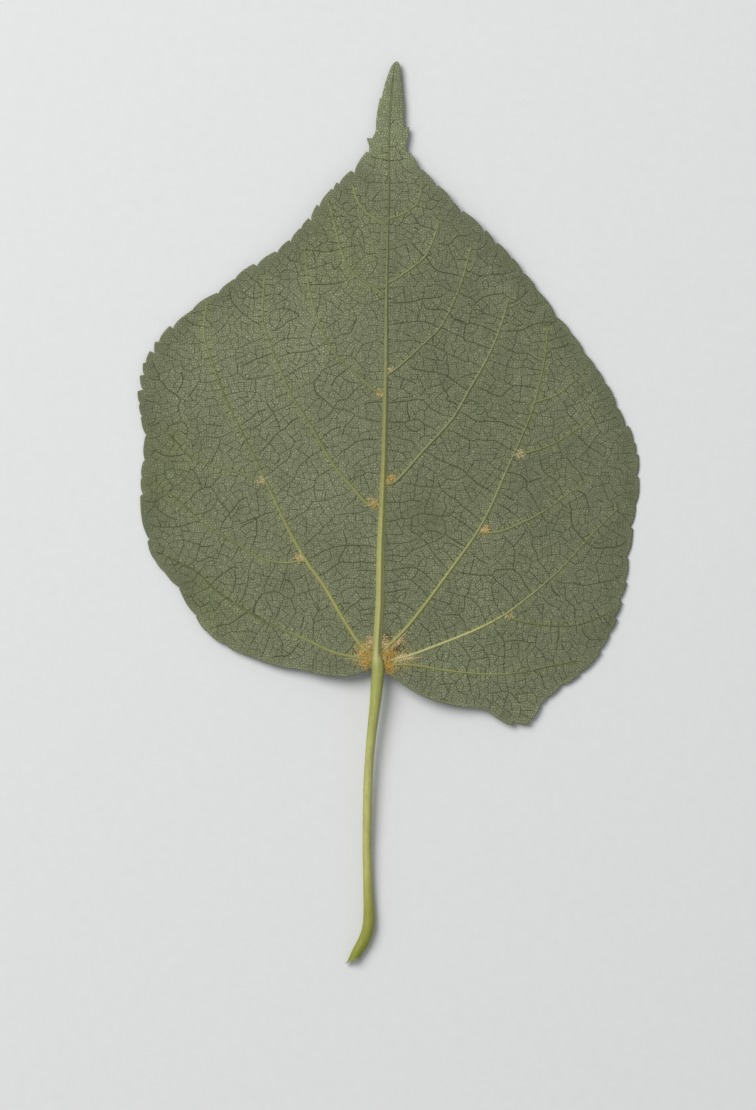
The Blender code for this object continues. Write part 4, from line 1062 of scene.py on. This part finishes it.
vein_paths = [smooth_path(MIDRIB, 0.8)[:, :2]] + [smooth_path(vein[3], 0.8) for vein in SIDE_VEINS.values()]
cross_paths = [smooth_path(from_photo(vein, 1).reshape(-1, 2), 0.3) for vein in CROSS_VEINS]
left_end, right_end = np.vstack([LEFT_SPUR, LEFT_POINT]), np.vstack([RIGHT_SPUR, RIGHT_POINT])
margin_lines = [toothed(LEFT_BASE, LEFT_TEETH, left_end, 1, COARSE_MARGIN_STEP),
                toothed(RIGHT_BASE, RIGHT_TEETH, right_end, -1, COARSE_MARGIN_STEP)]
notches = [smooth_path(np.vstack([base, teeth[:, 2:], point]), 0.6) for base, teeth, point in
           ((LEFT_BASE, LEFT_TEETH, LEFT_POINT), (RIGHT_BASE, RIGHT_TEETH, RIGHT_POINT))]
whole = np.vstack([notches[0], notches[1][::-1]])
inset = whole - NET_INSET * directions_along(whole)[1]
rng = np.random.default_rng(31)
starts, ends, large_border, chance, small_seeds = net_of_veins(whole, inset, vein_paths, cross_paths, rng)
free = nearest_on((starts + ends) / 2, cross_paths)[0] > 0.24
free &= (chance > 0.08) & ((starts + ends)[:, 1] / 2 < 49 + 9 * chance)
widths = np.where(large_border, LARGE_VEIN[0], SMALL_VEIN[0]) * (0.75 + 0.5 * chance)
heights = np.where(large_border, LARGE_VEIN[1], SMALL_VEIN[1])
tones = np.where(large_border, 0.6 + 0.3 * chance, 0.52 + 0.4 * chance)
bend = [0.05 * np.column_stack([wobble(place, 0.9, np.random.default_rng(32)),
                                wobble(place, 0.9, np.random.default_rng(33))]) for place in (starts, ends)]
starts, ends = starts + bend[0], ends + bend[1]
cross_of = np.repeat(np.arange(len(cross_paths)), [len(path) - 1 for path in cross_paths])
strength = rng.uniform(0, 1, len(cross_paths))[cross_of]
from_end = [(np.arange(len(path) - 1) + 0.5) / (len(path) - 1) for path in cross_paths]
full = np.concatenate([np.clip(0.5 + 5 * np.minimum(t, 1 - t), 0, 1) for t in from_end])
starts = np.vstack([starts[free]] + [path[:-1] for path in cross_paths])
ends = np.vstack([ends[free]] + [path[1:] for path in cross_paths])
widths = np.concatenate([widths[free], CROSS_VEIN[0] * full * (0.85 + 0.35 * strength)])
heights = np.concatenate([heights[free], np.full(len(strength), CROSS_VEIN[1])])
tones = np.concatenate([tones[free], 0.36 * full + 0.3 * strength])
middle_x, middle_y = ((starts + ends) / 2).T
on_left = middle_x < np.interp(middle_y, MIDRIB_LINE[:, 1], MIDRIB_LINE[:, 0])
for name, side in (("net_of_veins_left", on_left), ("net_of_veins_right", ~on_left)):
    threads_of_net(name, starts[side], ends[side], widths[side], heights[side], tones[side])


# The two half blades: thin matte tissue, pale grey-green on this underside, with a toothed margin. Each grows
# out of one flank of the midrib. The side that lies below is darker and glossier.
NET_STEP = 0.16
UPPER_STEP = 0.42
# How deep below its arch the upper side lies, and the middle and the upper side's rim at the edge
UPPER_DEPTH = 0.22
RIM_DEPTH = 0.13
UPPER_RIM_DEPTH = 0.2
RIM_BULGE = 0.03


def lattice(outline, spacing):
    """Points of a triangular lattice inside an outline, none nearer its points than 0.6 of the spacing."""
    low, high = outline.min(axis=0), outline.max(axis=0)
    start, end = outline, np.roll(outline, -1, axis=0)
    kept = []
    for number, y in enumerate(np.arange(low[1], high[1], spacing * np.sqrt(0.75))):
        crossing = (start[:, 1] > y) != (end[:, 1] > y)
        a, b = start[crossing], end[crossing]
        walls = np.sort(a[:, 0] + (y - a[:, 1]) / (b[:, 1] - a[:, 1]) * (b[:, 0] - a[:, 0]))
        x = np.arange(low[0] + number % 2 * spacing / 2, high[0], spacing)
        near = outline[np.abs(outline[:, 1] - y) < 0.6 * spacing]
        apart = np.hypot(x[:, None] - near[:, 0], y - near[:, 1])
        good = (np.searchsorted(walls, x) % 2 == 1) & (apart > 0.6 * spacing).all(axis=1)
        kept.append(np.column_stack([x, np.full_like(x, y)])[good])
    return np.vstack(kept)


def filled(outline, spacing):
    """The points and triangles that fill an outline: its own points first, then the lattice inside it."""
    points = np.vstack([outline, lattice(outline, spacing)])
    result = delaunay_2d_cdt(points.tolist(), [], [list(range(len(outline)))], 1, 1e-9)
    assert len(result[0]) == len(points)
    triangles = np.array(result[2])
    a, b, c = points[triangles[:, 0]], points[triangles[:, 1]], points[triangles[:, 2]]
    turned = (b - a)[:, 0] * (c - a)[:, 1] - (b - a)[:, 1] * (c - a)[:, 0] < 0
    triangles[turned] = triangles[turned][:, ::-1]
    return points, triangles


def nearest_cell(points, seeds, reach=0.9):
    """Each point's nearest seed, from those in the nine squares around it, and how far off its border is.

    The border is (second^2 - first^2) / (2 x the seeds' distance) away.
    """
    low = seeds.min(axis=0) - 2 * reach
    square, own = (np.floor((places - low) / reach).astype(int) for places in (seeds, points))
    columns = max(square[:, 1].max(), own[:, 1].max()) + 3
    key = square[:, 0] * columns + square[:, 1]
    order = np.argsort(key, kind="stable")
    key = key[order]
    best, second = np.full(len(points), 1e9), np.full(len(points), 1e9)
    best_id, second_id = np.zeros(len(points), int), np.zeros(len(points), int)
    for shift_x in (-1, 0, 1):
        for shift_y in (-1, 0, 1):
            here = (own[:, 0] + shift_x) * columns + own[:, 1] + shift_y
            first, last = np.searchsorted(key, here), np.searchsorted(key, here, side="right")
            for extra in range((last - first).max()):
                number = order[np.minimum(first + extra, len(order) - 1)]
                apart = np.where(first + extra < last, np.hypot(*(points - seeds[number]).T), 1e9)
                nearer = apart < best
                between = ~nearer & (apart < second)
                second = np.where(nearer, best, np.where(between, apart, second))
                second_id = np.where(nearer, best_id, np.where(between, number, second_id))
                best, best_id = np.where(nearer, apart, best), np.where(nearer, number, best_id)
    span = np.hypot(*(seeds[second_id] - seeds[best_id]).T) + 1e-9
    return best_id, (second**2 - best**2) / (2 * span)


def leaf_net_group():
    """The finest meshes of the leaf's net: a line mask, and a value for each mesh. Size is in millimetres."""
    group = bpy.data.node_groups.new("leaf_net", "ShaderNodeTree")
    for name, way in (
        ("Size", "INPUT"), ("Line Width", "INPUT"), ("Line", "OUTPUT"), ("Mesh Value", "OUTPUT"),
    ):
        group.interface.new_socket(name, in_out=way, socket_type="NodeSocketFloat")
    given = group.nodes.new("NodeGroupInput").outputs
    place = add(group, "ShaderNodeTexCoord").outputs["Object"]
    flat = add(group, "ShaderNodeMapping", {"Vector": place, "Scale": (1, 1, 0)}).outputs[0]
    bend = add(group, "ShaderNodeTexNoise", {"Vector": flat, "Scale": 900, "Detail": 1}).outputs["Color"]
    bend = add(group, "ShaderNodeVectorMath", {0: bend, 1: (0.5, 0.5, 0.5)}, operation="SUBTRACT").outputs[0]
    bend = add(group, "ShaderNodeVectorMath", {0: bend, "Scale": 0.35 * MM}, operation="SCALE").outputs[0]
    warped = add(group, "ShaderNodeVectorMath", {0: flat, 1: bend}, operation="ADD").outputs[0]
    scale = reckoned(group, "DIVIDE", 1000.0, given["Size"])
    values = {"Vector": warped, "Scale": scale, "Randomness": 0.9}
    settings = {"voronoi_dimensions": "2D"}
    edge = add(group, "ShaderNodeTexVoronoi", values, feature="DISTANCE_TO_EDGE", **settings)
    mesh = add(group, "ShaderNodeTexVoronoi", values, feature="F1", **settings).outputs["Color"]
    value = add(group, "ShaderNodeSeparateColor", {0: mesh}).outputs[0]
    distance = edge.outputs["Distance"]
    values = {"Value": distance, "From Max": given["Line Width"], "To Min": 1.0, "To Max": 0.0}
    line = add(group, "ShaderNodeMapRange", values, interpolation_type="SMOOTHSTEP").outputs[0]
    out = group.nodes.new("NodeGroupOutput")
    group.links.new(line, out.inputs["Line"])
    group.links.new(value, out.inputs["Mesh Value"])
    return group


LEAF_NET = leaf_net_group()

# The colours of the underside: two greens in patches, yellow beside veins, pale towards the tip, rust at the
# base, the lines of the net, and painted shade in the grooves beside the cross veins
PATCHES = ((0.200, 0.218, 0.123), (0.240, 0.249, 0.155))
YELLOWISH = (0.225, 0.255, 0.095)
PALE = (0.30, 0.325, 0.19)
RUSTY = (0.56, 0.40, 0.11)
NET_LINE = (0.082, 0.094, 0.044)
GROOVE_SHADE = (0.060, 0.070, 0.034)
BLADE_RELIEF = 0.04 * MM

underside_finish, tree, shader = finish("blade_underside", 0.72, specular=0.22, sheen=0.06)
place = add(tree, "ShaderNodeTexCoord").outputs["Object"]
net = add(tree, "ShaderNodeGroup", {"Size": 0.255, "Line Width": 0.4}, node_tree=LEAF_NET)
patches = noise(tree, place, 130, 3)
bloom = noise(tree, place, 2400, 2)
green = mixed(tree, patches, *PATCHES)
green = mixed(tree, attribute(tree, "yellow"), green, YELLOWISH)
green = mixed(tree, attribute(tree, "pale"), green, PALE)
green = mixed(tree, attribute(tree, "rust"), green, RUSTY)
light = reckoned(tree, "ADD", reckoned(tree, "MULTIPLY", net.outputs["Mesh Value"], 0.18), 0.98)
light = reckoned(tree, "MULTIPLY", light, reckoned(tree, "ADD", reckoned(tree, "MULTIPLY", bloom, 0.3), 0.88))
light = reckoned(tree, "MULTIPLY", light, attribute(tree, "light"))
grey = add(tree, "ShaderNodeCombineColor", {0: light, 1: light, 2: light}).outputs[0]
green = mixed(tree, 1.0, green, grey, "MULTIPLY")
green = mixed(tree, reckoned(tree, "MULTIPLY", net.outputs["Line"], 0.76), green, NET_LINE)
# Painted shade in the grooves beside the cross veins
green = mixed(tree, attribute(tree, "lines"), green, GROOVE_SHADE)
tree.links.new(green, shader.inputs["Base Color"])
relief = reckoned(tree, "SUBTRACT", reckoned(tree, "MULTIPLY", bloom, 0.5), net.outputs["Line"])
tree.links.new(bumped(tree, relief, 0.35, BLADE_RELIEF), shader.inputs["Normal"])

upper_finish, tree, shader = finish("blade_upper_side", 0.45, specular=0.4)
place = add(tree, "ShaderNodeTexCoord").outputs["Object"]
net = add(tree, "ShaderNodeGroup", {"Size": 0.9, "Line Width": 0.14}, node_tree=LEAF_NET)
patches = noise(tree, place, 160, 4)
green = mixed(tree, patches, (0.030, 0.075, 0.014), (0.055, 0.115, 0.024))
green = mixed(tree, reckoned(tree, "MULTIPLY", net.outputs["Line"], 0.4), green, (0.09, 0.15, 0.04))
green = mixed(tree, attribute(tree, "lines"), green, (0.16, 0.21, 0.07))
tree.links.new(green, shader.inputs["Base Color"])
relief = reckoned(tree, "SUBTRACT", patches, net.outputs["Line"])
tree.links.new(bumped(tree, relief, 0.4, BLADE_RELIEF), shader.inputs["Normal"])

# Yellowish, darker and rusty places: x, y, radius and strength. A negative SHADE makes a place lighter. SHADE
# is painted light and shade over the blade: the left half, which faces the light, is lighter.
YELLOW = [
    (-4.0, 42.0, 4.5, 0.3), (-18.5, 5.0, 4.0, 0.4), (-23.0, 20.0, 4.5, 0.35), (0.5, 56.0, 4.0, 0.45),
    (4.6, 14.8, 2.2, 0.3),
]
SHADE = [
    (1.9, 1.5, 0.7, 0.45), (0.95, 2.6, 0.5, 0.4), (4.6, 14.8, 2.2, 0.16), (3.0, 40.0, 4.0, 0.06),
    (-15.0, 32.0, 7.0, -0.2), (-5.5, 34.0, 5.0, -0.14), (-5.0, 18.0, 6.0, -0.15), (-8.0, 6.0, 5.0, -0.06),
    (4.0, 26.0, 4.0, -0.07), (21.0, 17.0, 8.0, 0.08), (19.0, 3.0, 5.0, 0.07), (11.0, 9.0, 5.0, -0.12),
    (9.0, 0.0, 4.5, -0.18), (-4.5, 45.0, 4.0, -0.08), (2.0, 50.0, 3.5, -0.1),
]
RUST = [
    (-1.3, 0.7, 1.15, 1.0), (1.1, 0.5, 1.05, 1.0), (1.2, -0.6, 0.8, 0.7), (2.8, 0.3, 1.1, 0.45),
    (2.1, 2.1, 0.8, 0.4),
]


def spots(points, places):
    """The sum of round soft spots: strength exp(-(distance / radius)^2)."""
    total = np.zeros(len(points))
    for x, y, radius, strength in places:
        total += strength * np.exp(-((points - (x, y)) ** 2).sum(axis=1) / radius**2)
    return total


def half_blade(name, margin, seed):
    """A closed thin plate: a fine lattice for the underside, a coarser one for the upper side, and a rim."""
    rng = np.random.default_rng(seed)
    inner = smooth_path(MIDRIB_LINE[MIDRIB_LINE[:, 1] > -1], 0.16)[::-1]
    inner[-1] = (0, margin[0, 1])
    outline = np.vstack([margin, inner[1:]])
    on_margin = np.arange(len(outline)) < len(margin)
    x, y = outline.T
    if (x * np.roll(y, -1) - y * np.roll(x, -1)).sum() < 0:
        outline, on_margin = outline[::-1], on_margin[::-1]
    under, under_faces = filled(outline, NET_STEP)
    upper, upper_faces = filled(outline, UPPER_STEP)
    z_under, main, edge, vein = underside(under)
    cell, border = nearest_cell(under, small_seeds)
    beside_cross = np.exp(-(nearest_on(under, cross_paths)[0] / 0.13) ** 2)
    z_under -= 0.01 * np.clip(edge / 0.4, 0, 1) * (1 - np.exp(-(border / 0.22) ** 2) + beside_cross)
    upper_main = nearest_on(upper, vein_paths)[0]
    dent = 0.05 * np.exp(-(upper_main / 0.3) ** 2) - 0.05 * (1 - np.exp(-(upper_main / 1.5) ** 2))
    z_upper = lie(*upper.T) - UPPER_DEPTH + dent
    count = len(outline)
    z_under[:count] = lie(*outline.T) - EDGE_DEPTH
    z_upper[:count] = lie(*outline.T) - UPPER_RIM_DEPTH
    ahead = np.roll(outline, -1, axis=0) - np.roll(outline, 1, axis=0)
    outward = np.column_stack([ahead[:, 1], -ahead[:, 0]]) / (np.linalg.norm(ahead, axis=1)[:, None] + 1e-9)
    rim = outline + RIM_BULGE * on_margin[:, None] * outward
    points = np.vstack([
        np.column_stack([under, z_under]), np.column_stack([upper, z_upper]),
        np.column_stack([rim, lie(*outline.T) - RIM_DEPTH])])
    top = np.arange(count)
    low = len(under) + top
    middle = len(under) + len(upper) + top
    walls = [
        np.column_stack([a, b, np.roll(b, -1), np.roll(a, -1)]) for a, b in ((top, middle), (middle, low))]
    faces = under_faces.tolist() + np.vstack(walls).tolist() + (upper_faces[:, ::-1] + len(under)).tolist()
    rest = len(upper) + count
    upper_lines = np.concatenate([0.9 * np.exp(-(upper_main / 0.32) ** 2), np.zeros(count)])
    light = 1 - spots(under, SHADE) + 0.04 * wobble(under, 7, rng) + 0.04 * wobble(under, 2.2, rng)
    light += 0.06 * (scattered(cell, cell + 1) - 0.5)
    # Beside a side vein the underside is a little paler. Beside the midrib there is painted light on the left
    # and a painted shadow of the midrib on the right.
    left_of_rib = under[:, 0] < np.interp(under[:, 1], MIDRIB_LINE[:, 1], MIDRIB_LINE[:, 0])
    towards_tip = np.clip(1 - under[:, 1] / 45, 0, 1)
    rib_light_and_shadow = np.where(left_of_rib, 0.13, -0.2) * towards_tip * np.exp(-((main - 0.5) / 0.22) ** 2)
    light += np.where(vein == 0, rib_light_and_shadow, 0.07 * np.exp(-((main - 0.35) / 0.2) ** 2))
    beside = np.where(vein == 0, 0.8 * towards_tip, np.where(np.isin(vein, INNER_BASALS), 0.6, 0.3))
    beside *= np.exp(-(main / 0.45) ** 2)
    # Painted shade near the margin, where the blade falls away from the light, except below the blade's
    # widest part on the left
    low_end = np.where(under[:, 0] < 0, 3.0, -1.0)
    darker = 0.22 * np.exp(-(edge / 2.2) ** 2) * np.clip((under[:, 1] - low_end) / 5, 0, 1)
    light -= darker * np.clip(52 - under[:, 1], 0, 1)
    pale = 0.3 * np.exp(-(edge / 0.25) ** 2) + 0.75 * np.clip((under[:, 1] - 47) / 9, 0, 1)
    # On the underside, lines is painted shade in the grooves beside the cross veins; on the upper side, the
    # veins' pale lines.
    piece = new_piece(
        name, points, faces, "blade", [underside_finish, upper_finish],
        lines=np.concatenate([0.08 * beside_cross, upper_lines]),
        light=np.concatenate([light, np.ones(rest)]),
        yellow=np.concatenate([np.clip(spots(under, YELLOW) + beside, 0, 1), np.full(rest, 0.3)]),
        pale=np.concatenate([pale, np.full(rest, 0.3)]),
        rust=np.concatenate([np.clip(spots(under, RUST), 0, 1), np.zeros(rest)]))
    below = np.zeros(len(faces), np.int32)
    below[len(under_faces) + 2 * count:] = 1
    piece.data.polygons.foreach_set("material_index", below)
    return piece


left_edge = toothed(LEFT_BASE, LEFT_TEETH, left_end, 1, MARGIN_STEP)
right_edge = toothed(RIGHT_BASE, RIGHT_TEETH, right_end, -1, MARGIN_STEP)
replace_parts(half_blade("half_blade_left", left_edge, 31), "blade_left")
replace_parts(half_blade("half_blade_right", right_edge, 32), "blade_right")


# Tufts of hair: small nests of curled hairs in the angles where veins part, orange-brown at the leaf's base
# and paler further up. The hairs grow out of the flanks of the veins and lean over the angle.
# Place, half sizes, turn in degrees, number of hairs, length, and tone from 0, dark brown, to 1, cream
TUFTS = {
    "hair_tuft_base_left": [
        (-1.2, 0.75, 0.62, 0.95, 0, 640, 0.48, 0.54), (-1.3, -0.15, 0.6, 0.45, -15, 190, 0.45, 0.56),
        (-1.9, 0.35, 0.7, 0.3, -5, 80, 0.55, 0.85), (-0.75, 1.9, 0.4, 0.7, 0, 110, 0.45, 0.92)],
    "hair_tuft_base_right": [
        (1.1, 0.55, 0.55, 1.05, 0, 580, 0.5, 0.52), (1.15, -0.6, 0.45, 0.6, 20, 190, 0.45, 0.5),
        (2.6, 0.35, 1.3, 0.34, 8, 230, 0.62, 0.88), (1.85, 1.95, 1.1, 0.38, 45, 180, 0.55, 0.85),
        (0.75, 1.9, 0.35, 0.7, 0, 110, 0.45, 0.92), (0.95, 2.5, 0.25, 0.3, 0, 26, 0.3, 0.0),
        (1.95, 1.35, 0.3, 0.25, 0, 26, 0.3, 0.0)],
    "hair_tuft_left_1": [(-0.45, 16.35, 0.65, 0.45, -30, 150, 0.5, 0.62)],
    "hair_tuft_left_2": [(0.25, 27.75, 0.4, 0.35, -30, 70, 0.4, 0.7)],
    "hair_tuft_right_1": [(1.25, 18.8, 0.75, 0.5, 40, 170, 0.5, 0.6)],
    "hair_tuft_right_2": [(1.1, 30.1, 0.45, 0.4, 40, 80, 0.4, 0.85)],
    "hair_tuft_left_branch_low": [(-8.1, 10.65, 0.55, 0.4, 0, 110, 0.45, 0.8)],
    "hair_tuft_left_branch_high": [(-12.1, 18.75, 0.5, 0.4, 20, 90, 0.4, 0.9)],
    "hair_tuft_right_branch_low": [(11.1, 13.6, 0.6, 0.45, 30, 130, 0.45, 0.75)],
    "hair_tuft_right_branch_middle": [(14.8, 21.5, 0.5, 0.4, 40, 90, 0.4, 0.95)],
    "hair_tuft_right_outer": [(13.6, 4.7, 0.45, 0.35, 10, 70, 0.35, 0.85)],
}

hair_finish, tree, shader = finish("brown_hair", 0.65, specular=0.25)
hair_brown = ramp(tree, attribute(tree, "tone"), [
    (0.0, (0.13, 0.07, 0.07)), (0.12, (0.39, 0.22, 0.055)), (0.35, (0.64, 0.42, 0.07)),
    (0.65, (0.80, 0.58, 0.175)), (1.0, (0.90, 0.79, 0.52)),
])
green_skin(tree, shader, hair_brown, 0.3, 6000, 0.1)

rng = np.random.default_rng(41)
for name, parts in TUFTS.items():
    every_point, every_face, every_tone, placed = [], [], [], 0
    for x, y, half_width, half_length, turn, count, length, tone in parts:
        spread = rng.normal(0, 0.5, (count, 2)) * (half_width, half_length)
        turn = np.radians(turn)
        flat = np.column_stack([
            x + spread[:, 0] * np.cos(turn) - spread[:, 1] * np.sin(turn),
            y + spread[:, 0] * np.sin(turn) + spread[:, 1] * np.cos(turn)])
        roots = np.column_stack([flat, lie(*flat.T) - 0.03])
        away = rng.normal(0, 1, (count, 3))
        if half_width > 2 * half_length:
            away[:, :2] += rng.choice([-1.6, 1.6], count)[:, None] * (np.cos(turn), np.sin(turn))
        away[:, 2] = np.abs(away[:, 2]) * 0.45 + 0.25
        bends = rng.normal(0, 0.35, (count, 3))
        bends[:, 2] = -rng.uniform(0.2, 0.5, count)
        sizes = length * rng.uniform(0.5, 1.2, count)
        points, faces, each = threads(roots, away, sizes, rng.uniform(0.016, 0.03, count), bends)
        every_point.append(points)
        every_face += [[number + placed for number in face] for face in faces]
        every_tone.append(np.repeat(np.clip(rng.normal(tone, 0.2, count), 0, 1), each))
        placed += len(points)
    tuft = new_piece(name + "_hairs", np.vstack(every_point), every_face, "hair", [hair_finish],
                     tone=np.concatenate(every_tone))
    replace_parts(tuft, name)


# The floor, the light and the camera: a plain pale floor, one large soft light from the upper left with a
# pale surround, and a camera that looks straight down from above, as the photograph was taken.
FLOOR_REACH = 2
LAMP_PLACE = (-0.38, 0.34, 0.62)
LAMP_TURN = (-29, -31, 0)
LAMP_WIDTH = 0.55
LAMP_POWER = 5.4
SURROUND = (0.93, 0.96, 1.0)
SURROUND_STRENGTH = 0.40
CAMERA_HEIGHT = 0.6
FRAME_HEIGHT = 115.6 * MM
CAMERA_PLACE = (-1.05 * MM, -4.2 * MM)

floor_mesh = bpy.data.meshes.new("floor")
corners = [(x * FLOOR_REACH, y * FLOOR_REACH, 0) for x, y in ((-1, -1), (1, -1), (1, 1), (-1, 1))]
floor_mesh.from_pydata(corners, [], [(0, 1, 2, 3)])
floor = bpy.data.objects.new("floor", floor_mesh)
bpy.context.scene.collection.objects.link(floor)
floor_finish, tree, shader = finish("floor_paper", 0.9, specular=0.1)
place = add(tree, "ShaderNodeTexCoord").outputs["Object"]
paper = mixed(tree, noise(tree, place, 900, 3), (0.74, 0.74, 0.73), (0.78, 0.78, 0.77))
tree.links.new(paper, shader.inputs["Base Color"])
floor_mesh.materials.append(floor_finish)

lamp = bpy.data.lights.new("soft_light", "AREA")
lamp.shape = "DISK"
lamp.size = LAMP_WIDTH
lamp.energy = LAMP_POWER
lamp_holder = bpy.data.objects.new("soft_light", lamp)
lamp_holder.location = LAMP_PLACE
lamp_holder.rotation_euler = np.radians(LAMP_TURN)
bpy.context.scene.collection.objects.link(lamp_holder)

world = bpy.data.worlds.new("pale_surround")
world.use_nodes = True
world.node_tree.nodes["Background"].inputs["Color"].default_value = (*SURROUND, 1)
world.node_tree.nodes["Background"].inputs["Strength"].default_value = SURROUND_STRENGTH
bpy.context.scene.world = world
bpy.context.scene.view_settings.view_transform = "Standard"

eye = bpy.data.cameras.new("camera")
eye.lens = eye.sensor_width * CAMERA_HEIGHT / FRAME_HEIGHT
camera = bpy.data.objects.new("camera", eye)
camera.location = (*CAMERA_PLACE, CAMERA_HEIGHT)
bpy.context.scene.collection.objects.link(camera)
bpy.context.scene.camera = camera
